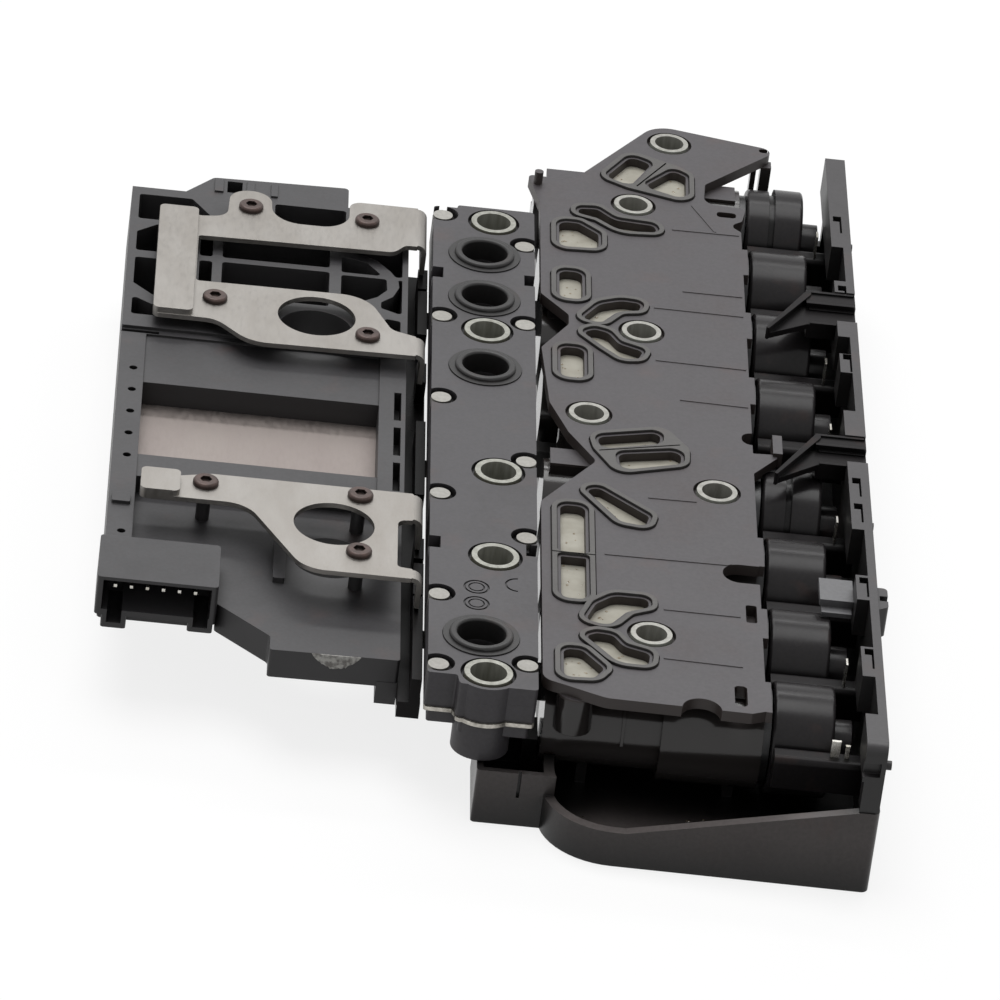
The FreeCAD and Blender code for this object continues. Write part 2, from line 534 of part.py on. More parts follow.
def can(k):
    """Solenoid can with its neck; the ribbed ones have two bands and a groove."""
    y = VALVE_Y[k]
    if k in RIBBED_CANS:
        groove_x = CAN_X0 + CAN_LENGTH / 2 - CAN_RIB_GROOVE
        first = barrel(y, VALVE_Z, CAN_R, CAN_X0, groove_x)
        second = barrel(y, VALVE_Z, CAN_RIB_R, groove_x + CAN_RIB_GROOVE, CAN_X1)
        core = barrel(y, VALVE_Z, CAN_R - 0.8, CAN_X0, CAN_X1)
        shell = join([first, second, core])
    else:
        shell = barrel(y, VALVE_Z, CAN_R, CAN_X0, CAN_X1)
    rims = [e for e in shell.Edges if e.BoundBox.XLength < 0.01 and e.Length > 6 * (CAN_R - 1)
            and min(abs(e.BoundBox.XMin - CAN_X0), abs(e.BoundBox.XMin - CAN_X1)) < 0.01]
    shell = shell.makeFillet(0.7, rims)
    neck = barrel(y, VALVE_Z, CAN_NECK_R, CAN_X1 - 0.1, CAN_X1 + CAN_NECK_LENGTH)
    inside = barrel(y, VALVE_Z, CAN_R - CAN_WALL, CAN_X0 + CAN_WALL, CAN_X1 - CAN_WALL)
    mouth = barrel(y, VALVE_Z, SPOOL_R + 0.5, CAN_X0 - 1, CAN_X0 + 2)
    return carve(shell.fuse(neck), [inside, mouth])


COIL_GAP = 0.3
PIECES["valve_sleeves"] = separate([sleeve(y) for y in VALVE_Y])
PIECES["sleeve_seals"] = separate([
    Part.makeTorus(SLEEVE_R - ORING_R, ORING_R, V(x, y, VALVE_Z), RIGHT) for y in VALVE_Y for x in ORING_X])
PIECES["solenoid_coils"] = separate([
    barrel(y, VALVE_Z, CAN_R - CAN_WALL - COIL_GAP, CAN_X0 + CAN_WALL, CAN_X1 - CAN_WALL).cut(
        barrel(y, VALVE_Z, COIL_INNER_R, CAN_X0, CAN_X1)) for y in VALVE_Y])
for number, valve_y in enumerate(VALVE_Y, start=1):
    PIECES["solenoid_can_%d" % number] = can(number - 1)
    PIECES["solenoid_spool_%d" % number] = spool(valve_y)
    PIECES["solenoid_spring_%d" % number] = spring(valve_y)

# Small connector box beside each can, with two tabs that stand on it
PLUG_Y = (CAN_RIB_R + BODY_GAP, VALVE_PITCH - CAN_R - BODY_GAP)
PLUG_Z = (14.0, 20.6)
BLADE_X = RAIL_X1 - 5.8
BLADE = (0.4, 2.4, 5.0)      # thickness, width and height of a terminal blade


def coil_plug(y):
    """Moulded plug between a can and the rail."""
    plug = box(CAN_X0 + 0.3, RAIL_X1 - RAIL_WALL_T, y - PLUG_Y[1], y - PLUG_Y[0], PLUG_Z[0], PLUG_Z[1])
    top_edges = [e for e in plug.Edges if abs(e.BoundBox.ZMin - PLUG_Z[1]) < 0.01 and e.BoundBox.XLength > 1]
    return plug.makeFillet(1.2, top_edges)


def terminal_tabs(y):
    """Tinned terminals that rise from a plug: two tabs on the last one, one blade on the others."""
    middle = y - (PLUG_Y[0] + PLUG_Y[1]) / 2
    base = PLUG_Z[1]
    if y == NEAR_Y:
        wide = rounded_box(RAIL_X1 - 9.2, RAIL_X1 - 7.4, middle - 0.3, middle + 0.3, base, base + 3.6, 0.1)
        narrow = rounded_box(RAIL_X1 - 6.5, RAIL_X1 - 5.6, middle - 0.3, middle + 0.3, base, base + 2.8, 0.1)
        return [wide, narrow]
    half = BLADE[1] / 2
    return [box(BLADE_X, BLADE_X + BLADE[0], middle - half, middle + half, base, base + BLADE[2])]


PIECES["coil_plugs"] = separate([coil_plug(y) for y in VALVE_Y])
PIECES["coil_terminals"] = separate([tab for y in VALVE_Y for tab in terminal_tabs(y)])


# Pads of the rail: far end, near end, and the offsets of their square holes
RAIL_PADS = [
    (FAR_Y + RAIL_END, VALVE_Y[1] - 3.4, (FAR_Y - 18.0,)),
    (VALVE_Y[2] + 8.8, VALVE_Y[2] - 14.4, (VALVE_Y[2] + 5.8,)),
    (VALVE_Y[3] + 5.2, VALVE_Y[3] - 2.4, (VALVE_Y[3] + 4.0,)),
    (VALVE_Y[3] - 17.8, VALVE_Y[5] - 1.0, (VALVE_Y[4] - 9.0, VALVE_Y[4] - 18.9)),
    (VALVE_Y[6] + 8.3, VALVE_Y[6] - 0.8, (VALVE_Y[6] + 6.4,)),
    (VALVE_Y[7] + 8.6, VALVE_Y[7] - 2.1, (VALVE_Y[7] + 6.8,)),
    (VALVE_Y[7] - 15.5, TUB_FRONT + 0.3, ()),
]
NUB_Y = (FAR_Y - 20.0, VALVE_Y[4] - 17.0, TUB_FRONT + 3.0)
HOOK_Y = (VALVE_Y[6] - 3.0, VALVE_Y[6] + 5.2)


def lead_frame_rail():
    """Tall rail on the tub's right wall, with pads, square holes, a hook and nubs."""
    near = TUB_FRONT + 0.3
    solids = [box(RAIL_X1 - RAIL_WALL_T, RAIL_X1, near, FAR_Y + RAIL_END, RAIL_SEAT, RAIL_TOP)]
    tools = []
    for far_y, near_y, holes in RAIL_PADS:
        solids.append(box(PAD_X0, RAIL_X1 - RAIL_WALL_T + 0.1, near_y, far_y, RAIL_TOP - PAD_T, RAIL_TOP))
        for y in holes:
            wall_x = RAIL_X1 - RAIL_WALL_T
            tools.append(box(wall_x - PAD_HOLE, wall_x, y - 1.1, y + 1.1, RAIL_TOP - 3.0, RAIL_TOP + 1))
            tools.append(box(wall_x - PAD_SLIT[0], wall_x, y - PAD_SLIT[1], y, RAIL_TOP - 2.0, RAIL_TOP + 1))
    # foot block at the front, and the hook on the outside
    solids.append(box(PAD_X0 + 0.4, RAIL_X1, near, near + 4.0, RAIL_SEAT, RAIL_TOP - PAD_T + 1.0))
    hook = [(RAIL_X1 - 0.1, HOOK_Y[1], 0.2), (RAIL_X1 + HOOK_PROUD, HOOK_Y[1], 1.0),
            (RAIL_X1 + HOOK_PROUD, HOOK_Y[0] + 1.2, 1.0), (RAIL_X1 - 0.1, HOOK_Y[0], 0.2)]
    solids.append(prism(hook, RAIL_TOP - 7.0, RAIL_TOP - 0.6))
    tools.append(box(RAIL_X1 + 0.4, RAIL_X1 + 5, HOOK_Y[0] + 3.4, HOOK_Y[0] + 5.2, RAIL_TOP - 8, RAIL_TOP))
    for y in NUB_Y:
        solids.append(Part.makeCylinder(0.9, 1.3, V(RAIL_X1 - 0.1, y, RAIL_TOP - 5.5), RIGHT))
    for y, width in zip(ARM_NEAR_Y, ARM_WIDTH):
        tools.append(box(PAD_X0 - 1, RAIL_X1 + 1, y - BODY_GAP, y + width + BODY_GAP, ARM_SEAT, RAIL_TOP + 1))
    # groove across the front end, under its rounded top
    tools.append(box(PAD_X0 - 1, RAIL_X1 - 0.9, near - 1, near + 1.4, RAIL_TOP - 6.8, RAIL_TOP - 3.8))
    rail = carve(join(solids), tools)
    top_front = [e for e in rail.Edges if abs(e.BoundBox.YMax - near) < 0.01
                 and abs(e.BoundBox.ZMin - RAIL_TOP) < 0.01]
    return rail.makeFillet(2.4, top_front)


PIECES["lead_frame_rail"] = lead_frame_rail()

def rail_arm(near_y, width):
    """Stepped bar let into the rail, with a diagonal fin that ends in a point over the cans."""
    x1 = RAIL_X1
    x0 = RAIL_X1 - ARM_REACH
    far_y = near_y + width
    split_y = near_y + width * 0.55
    solids = [
        box(x0, x1, near_y, split_y, ARM_SEAT, ARM_TOP - ARM_STEP),
        box(x0, x1, split_y, far_y, ARM_SEAT, ARM_TOP - ARM_RIDGE),
    ]
    # thin ridges run along both edges and along the step
    for y in (near_y, split_y - ARM_RIDGE_W):
        solids.append(box(x0 + 0.6, x1 - 0.3, y, y + ARM_RIDGE_W, ARM_SEAT, ARM_TOP - ARM_STEP + ARM_RIDGE))
    for y in (split_y, far_y - ARM_RIDGE_W):
        solids.append(box(x0, x1 - 0.3, y, y + ARM_RIDGE_W, ARM_SEAT, ARM_TOP))
    tip_x = x0 - ARM_FIN[0]
    tip_y = far_y - ARM_FIN[1]
    fin = [(x0 + 1.0, far_y, 0.2), (tip_x, tip_y, 0.3), (x0 + 1.0, near_y + 0.6, 0.2)]
    lip = [(x0 + 1.0, far_y, 0.2), (x0 + 0.2, far_y, 0.2), (tip_x, tip_y + 0.5, 0.2), (tip_x + 0.5, tip_y, 0.2),
           (x0 + 1.0, far_y - 1.6, 0.2)]
    solids.append(prism(fin, ARM_TOP - ARM_STEP - ARM_FIN_T, ARM_TOP - ARM_STEP))
    solids.append(prism(lip, ARM_TOP - ARM_STEP - ARM_FIN_T, ARM_TOP))
    return join(solids)


PIECES["rail_arms"] = separate([rail_arm(y, w) for y, w in zip(ARM_NEAR_Y, ARM_WIDTH)])
CLIP_FAR_Y = VALVE_Y[6] + 11.6
CLIP_W = 8.0
CLIP_T = 2.45
CLIP_TOP = VALVE_Z + CAN_R + BODY_GAP + CLIP_T


def bridge_clip():
    """Light clip between two cans, hung from a rail pad."""
    x0 = CAN_X1 - 2.4
    x1 = PAD_X0
    top = box(x0, x1, CLIP_FAR_Y - CLIP_W, CLIP_FAR_Y, CLIP_TOP - 1.4, CLIP_TOP)
    near_y = CLIP_FAR_Y - CLIP_W
    lip = box(x0 + 0.4, x1 - 0.3, near_y - 2.2, near_y + 0.1, CLIP_TOP - CLIP_T, CLIP_TOP - 1.5)
    riser = box(x0 + 0.4, x1 - 0.3, near_y, near_y + 1.2, CLIP_TOP - CLIP_T, CLIP_TOP - 1.0)
    return join([top, lip, riser])


PIECES["bridge_clip"] = bridge_clip()


def tub_outline(inset):
    """Base tub from above, clockwise from its rounded front left corner."""
    r = TUB_CORNER_R - inset
    return [
        (TUB_X0 + inset, TUB_FRONT + 0.9 + inset, r), (TUB_X0 + inset, TUB_FAR - inset, 4.0),
        (TUB_X1 - inset, TUB_FAR - inset, 2.5), (TUB_X1 - inset, TUB_FRONT + inset, 1.5),
    ]


def base_housing():
    """Open tub with its sloping front wall, left block, saddles, bosses and outriggers."""
    wall_top = RAIL_SEAT
    shell = prism(tub_outline(0.0), 0.0, wall_top)
    shell = shell.cut(prism(tub_outline(WALL_T), FLOOR_T, wall_top + 1))
    # the front wall's top slopes up to the right, and the left and far walls are low
    slope = side_profile([(BLOCK_X0 - 5, FRONT_LOW_Z), (FRONT_LOW_X, FRONT_LOW_Z), (TUB_X1 - 3, wall_top + 0.1),
                          (TUB_X1 - 3, 30.0), (BLOCK_X0 - 5, 30.0)], TUB_FRONT - 5, TUB_FRONT + 16)
    left = box(TUB_X0 - 5, TUB_X0 + TUB_CORNER_R, TUB_FRONT, TUB_FAR + 5, FRONT_LOW_Z, 30)
    far = box(TUB_X0 - 5, TUB_X1 - WALL_T - 1, TUB_FAR - 8, TUB_FAR + 5, BOSS_SPLIT, 30)
    shell = carve(shell, [slope, left, far])

    # left front block, hollow and open at the top
    block_y1 = BLOCK_FRONT + 20.0
    block = rounded_box(BLOCK_X0, TUB_X0 + 3, BLOCK_FRONT, block_y1, 0.0, BLOCK_Z, 0.8)
    block_room = box(BLOCK_X0 + 1.3, TUB_X0, BLOCK_FRONT + 1.3, block_y1 - 1.3, FLOOR_T, BLOCK_Z + 1)
    groove = box(TUB_X0 - 4.7, TUB_X0 - 4.1, BLOCK_FRONT - 1, BLOCK_FRONT + 0.9, 6.2, BLOCK_Z + 1)
    block = carve(block, [block_room, groove])
    block = block.cut(prism(tub_outline(WALL_T), FLOOR_T, wall_top + 1))
    ledge = box(TUB_X0 - 4.0, TUB_X0 + 1.5, BLOCK_FRONT + 1.0, block_y1, FRONT_LOW_Z - 3, STRIP_BOSS_Z)
    ledge = ledge.common(box(BLOCK_X0, TUB_X0 + 1.5, BLOCK_FRONT + 12.0, block_y1, 0, STRIP_BOSS_Z))

    # saddles under the small and the big stretch of every tube
    saddle_y0 = NEAR_Y - 2.0
    saddles = [box(x - 1.0, x + 1.0, saddle_y0, TUB_FAR - 1, 1.0, BOSS_SPLIT) for x in (18.0, 46.0)]
    # ribs that run left under the strip and carry it
    ribs = []
    for y in OUTRIGGER_Y:
        ribs.append(box(STRIP_X0 + 1.6, TUB_X0 + 4, y - OUTRIGGER_W / 2, y + OUTRIGGER_W / 2, LOWER_Z - 6, LOWER_Z))
        ribs.append(box(TUB_X0, TUB_X0 + 6, y - OUTRIGGER_W / 2, y + OUTRIGGER_W / 2, 1.0, LOWER_Z))
    bosses = [post(x, y, PLATE_BUSH_R + BOSS_WALL, 0.0, BOSS_SPLIT) for x, y in PLATE_BUSHES]
    far_x, far_y = PLATE_BUSHES[0]
    bridge = box(far_x - 4, far_x + 4, TUB_FAR - 1, far_y, 0.0, BOSS_SPLIT)
    tub = join([shell, block, ledge, bridge] + saddles + ribs + bosses)

    tools = []
    for k, y in enumerate(VALVE_Y):
        can_r = CAN_RIB_R if k in RIBBED_CANS else CAN_R
        tools.append(barrel(y, VALVE_Z, TUBE_SMALL_R + BODY_GAP, TUBE_X0 - BODY_GAP, TUBE_STEP_X))
        tools.append(barrel(y, VALVE_Z, TUBE_BIG_R + BODY_GAP, TUBE_STEP_X, CAN_X0))
        tools.append(barrel(y, VALVE_Z, can_r + BODY_GAP, CAN_X0 - 0.5, CAN_X1 + 0.5))
        tools.append(barrel(y, VALVE_Z, CAN_NECK_R + BODY_GAP, CAN_X1, CAN_X1 + CAN_NECK_LENGTH + BODY_GAP))
    for x, y in PLATE_BUSHES:
        tools.append(post(x, y, PLATE_BUSH_R + BODY_GAP, -1.0, RAIL_SEAT))
        tools.append(post(x, y, PLATE_BUSH_R + BOSS_WALL + BODY_GAP, BOSS_SPLIT, RAIL_SEAT))
    return carve(tub, tools)


OUTRIGGER_Y = (between(1), BANK_GAP_Y + 0.5, between(6) + 1.0)
PIECES["base_housing"] = base_housing()


def strip_outline(front, sides):
    """Switch strip from above, clockwise from its front left corner; it grows by two margins."""
    x0 = STRIP_X0 - sides
    x1 = STRIP_X1 + sides
    y0 = STRIP_Y0 - front
    y1 = STRIP_Y1 + sides
    return [
        (x0, y0 + 3.0, 0.6), (x0, y1 - 1.2, 1.0), (x0 + 5.0, y1 - 1.2, 0.4), (x0 + 5.0, y1, 0.6),
        (x1, y1, 1.0), (x1, y0, 0.8), (x0 + 6.0, y0, 1.0), (x0 + 5.6, y0 + 3.0, 0.5),
    ]


def strip_layer(z0, z1, front=0.0):
    """One layer of the strip, with the round boss at its front bushing."""
    x, y = STRIP_BUSHES[-1]
    return join([prism(strip_outline(front, 0.0), z0, z1), post(x, y, STRIP_BOSS_R + front, z0, z1)])


def bush_holes(z0, z1):
    """Holes for the strip's limiters."""
    return [post(x, y, STRIP_BUSH_R + SEAT_GAP, z0, z1) for x, y in STRIP_BUSHES]


STAKES = ([(STRIP_X0 + STAKE_MARGIN, y) for y in STAKES_LEFT] + [(STRIP_X1 - STAKE_MARGIN, y) for y in STAKES_RIGHT])
DIALS = ((-4.5, -33.6), (-4.5, -39.6))
DIAL_R = 2.5
HALF_DIAL = (3.4, -31.5)


def clip_tab(y, side_x, direction, z0, z1, gap=0.0):
    """Square snap tab at one side edge of the strip."""
    inner = side_x - direction * (CLIP_TAB[0] + gap)
    x0 = min(inner, side_x + direction * gap)
    x1 = max(inner, side_x + direction * gap)
    return box(x0, x1, y - CLIP_TAB[1] / 2 - gap, y + CLIP_TAB[1] / 2 + gap, z0, z1)


def strip_cover():
    """Top layer, with sinks for stakes, ports, limiters and clip tabs."""
    tools = bush_holes(COVER_Z - 1, PLATE_TOP + 1)
    for x, y in STRIP_BUSHES:
        tools.append(post(x, y, STRIP_BUSH_R + BUSH_MOAT, PLATE_TOP - BUSH_MOAT_DEPTH, PLATE_TOP + 1))
    for x, y in STAKES:
        tools.append(post(x, y, STAKE_R + SEAT_GAP, COVER_Z - 1, PLATE_TOP + 1))
        tools.append(post(x, y, STAKE_SINK_R, PLATE_TOP - STAKE_SINK, PLATE_TOP + 1))
    for x, y in PORTS:
        tools.append(post(x, y, PORT_RING_R + SEAT_GAP, COVER_Z - 1, PLATE_TOP + 1))
        tools.append(post(x, y, PORT_LIP_R + SEAT_GAP, PLATE_TOP - PORT_LIP_T, PLATE_TOP + 1))
    for x, y in DIALS:
        tools.append(tube(x, y, DIAL_R, DIAL_R - 0.4, PLATE_TOP - 0.3, PLATE_TOP + 1))
        tools.append(tube(x, y, DIAL_R - 0.9, DIAL_R - 1.2, PLATE_TOP - 0.3, PLATE_TOP + 1))
    x, y = HALF_DIAL
    tools.append(tube(x, y, DIAL_R, DIAL_R - 0.4, PLATE_TOP - 0.3, PLATE_TOP + 1).common(
        box(x - DIAL_R, x, y - DIAL_R, y + DIAL_R, PLATE_TOP - 1, PLATE_TOP + 1)))
    for y in CLIP_TABS_Y:
        tools.append(clip_tab(y, STRIP_X0, -1, COVER_Z - 1, PLATE_TOP + 1, BODY_GAP))
        tools.append(clip_tab(y, STRIP_X1, 1, COVER_Z - 1, PLATE_TOP + 1, BODY_GAP))
    return carve(strip_layer(COVER_Z, PLATE_TOP), tools)


def strip_body():
    """Second layer, with the plunger bores and the clip tabs that rise past the cover."""
    solids = [strip_layer(BODY_Z, COVER_Z)]
    for y in CLIP_TABS_Y:
        solids.append(clip_tab(y, STRIP_X0, -1, COVER_Z - 1, PLATE_TOP - CLIP_TAB_LOW))
        solids.append(clip_tab(y, STRIP_X1, 1, COVER_Z - 1, PLATE_TOP - CLIP_TAB_LOW))
    tools = bush_holes(BODY_Z - 1, COVER_Z + 1)
    tools += [post(x, y, PLUNGER_R + RUN_GAP, BODY_Z - 1, COVER_Z + 1) for x, y in PORTS]
    tools += [post(x, y, STAKE_R + SEAT_GAP, COVER_Z - 2.0, COVER_Z + 1) for x, y in STAKES]
    return carve(join(solids), tools)


def lower_body():
    """Bottom layer with the round bosses that the bolts pull against."""
    solids = [prism(strip_outline(-LOWER_INSET, -LOWER_INSET), LOWER_Z, GASKET_Z)]
    solids += [post(x, y, STRIP_BOSS_R - 0.6, STRIP_BOSS_Z, GASKET_Z) for x, y in STRIP_BUSHES]
    return carve(join(solids), bush_holes(STRIP_BOSS_Z - 1, GASKET_Z + 1))


PIECES["strip_cover"] = strip_cover()
PIECES["strip_body"] = strip_body()
PIECES["strip_gasket"] = carve(strip_layer(GASKET_Z, BODY_Z, GASKET_PROUD), bush_holes(GASKET_Z - 1, BODY_Z + 1))
PIECES["strip_lower_body"] = lower_body()
PIECES["strip_bushings"] = separate([
    tube(x, y, STRIP_BUSH_R, STRIP_BUSH_BORE, STRIP_BOSS_Z, PLATE_TOP + BUSH_PROUD) for x, y in STRIP_BUSHES])
PIECES["stake_pins"] = separate([post(x, y, STAKE_R, COVER_Z - 2.0, PLATE_TOP - STAKE_LOW) for x, y in STAKES])


def port_seal(x, y):
    """Rubber ring seal with a flat outer lip."""
    ring = tube(x, y, PORT_RING_R, PORT_R, COVER_Z, PLATE_TOP + PORT_RING_PROUD)
    rims = [e for e in ring.Edges if abs(e.BoundBox.ZMin - PLATE_TOP - PORT_RING_PROUD) < 0.01
            and e.BoundBox.ZLength < 0.01]
    ring = ring.makeFillet(0.55, rims)
    lip = tube(x, y, PORT_LIP_R, PORT_R + 0.5, PLATE_TOP - PORT_LIP_T, PLATE_TOP + 0.25)
    return join([ring, lip])


PIECES["port_seals"] = separate([port_seal(x, y) for x, y in PORTS])
for number, (port_x, port_y) in enumerate(PORTS, start=1):
    PIECES["switch_plunger_%d" % number] = post(
        port_x, port_y, PLUNGER_R, BODY_Z + PLUNGER_TRAVEL + 0.1, BODY_Z + PLUNGER_TRAVEL + 0.1 + PLUNGER_T)

# Controller. Its places along X are measured from its right side.


def cx(inward):
    """X of a point that lies a distance left of the controller's right side."""
    return CTRL_X1 - inward


BRACKET_SCREWS_UPPER = [(cx(32.7), 106.0), (cx(8.9), 104.9), (cx(39.0), 66.5), (cx(8.2), 57.2)]
BRACKET_SCREWS_LOWER = [(cx(38.7), -7.0), (cx(8.8), -6.2), (cx(8.8), -27.4)]
BRACKET_SCREWS = BRACKET_SCREWS_UPPER + BRACKET_SCREWS_LOWER
BOLT_WINDOW_UPPER = (cx(18.5), 63.6)
BOLT_WINDOW_LOWER = (cx(13.7), -17.4)
BOLT_PASS_R = 7.4
BOARD_ROOM_X = (CTRL_X0 + FRAME_LEFT + 1.0, CTRL_X1 - FRAME_RIGHT - 1.0)
BOARD_ROOM_Y = (SLAB_Y0 - 8.0, FAR_SECTION_Y[0] - 7.0)
CONN_X0 = CTRL_X0 - CONN_PROUD
CONN_X1 = CONN_X0 + CONN_WIDTH
RIB_R = 0.7

# Pockets between the ribs of the far section
POCKETS = [
    [(cx(55.4), 62.4), (cx(55.4), 69.8), (cx(51.4), 67.0), (cx(43.8), 67.0), (cx(43.8), 62.4)],
    [(cx(55.4), 75.2), (cx(55.4), 86.0), (cx(43.8), 86.0), (cx(43.8), 70.9), (cx(51.4), 70.9)],
    [(cx(55.4), 88.9), (cx(55.4), 96.8), (cx(51.4), 100.4), (cx(43.8), 100.4), (cx(43.8), 88.9)],
    [(cx(55.4), 102.4), (cx(55.4), 112.8), (cx(44.6), 112.8), (cx(39.6), 104.6), (cx(39.6), 102.4)],
    [(cx(42.4), 71.0), (cx(42.4), 87.2), (cx(39.8), 87.2), (cx(39.8), 71.0)],
    [(cx(42.4), 89.2), (cx(42.4), 100.4), (cx(39.8), 100.4), (cx(39.8), 89.2)],
    [(cx(37.8), 71.0), (cx(37.8), 87.4), (cx(16.0), 87.6), (cx(16.0), 73.4), (cx(28.0), 73.4)],
    [(cx(37.8), 89.3), (cx(37.8), 99.2), (cx(16.0), 99.2), (cx(16.0), 89.5)],
    [(cx(13.6), 88.2), (cx(13.6), 94.4), (cx(11.0), 94.2), (cx(8.4), 93.0), (cx(5.2), 88.2)],
    [(cx(13.6), 77.0), (cx(13.6), 87.0), (cx(4.4), 87.0), (cx(4.2), 82.5), (cx(6.2), 79.2), (cx(8.5), 77.4)],
    [(cx(12.0), 96.6), (cx(12.0), 99.6), (cx(1.2), 99.6), (cx(1.2), 88.2), (cx(2.6), 88.2), (cx(3.6), 90.4),
     (cx(6.4), 94.4), (cx(9.0), 96.0)],
    [(cx(2.0), 87.0), (cx(1.2), 87.0), (cx(1.2), 72.6), (cx(5.4), 74.8), (cx(5.4), 77.2), (cx(3.0), 80.0),
     (cx(1.8), 84.0)],
    [(cx(4.6), 62.6), (cx(4.6), 70.6), (cx(1.4), 70.0), (cx(1.4), 62.6)],
    [(cx(27.6), 103.4), (cx(27.6), 114.2), (cx(13.0), 114.2), (cx(13.0), 103.4), (cx(20.0), 101.4)],
]
SHELF_POCKET = (37.6, 34.5)
SHELF_RIBS = [(40.2, 38.4), (33.6, 32.0), (28.6, 27.2)]
SHELF_RIB_RISE = 0.4


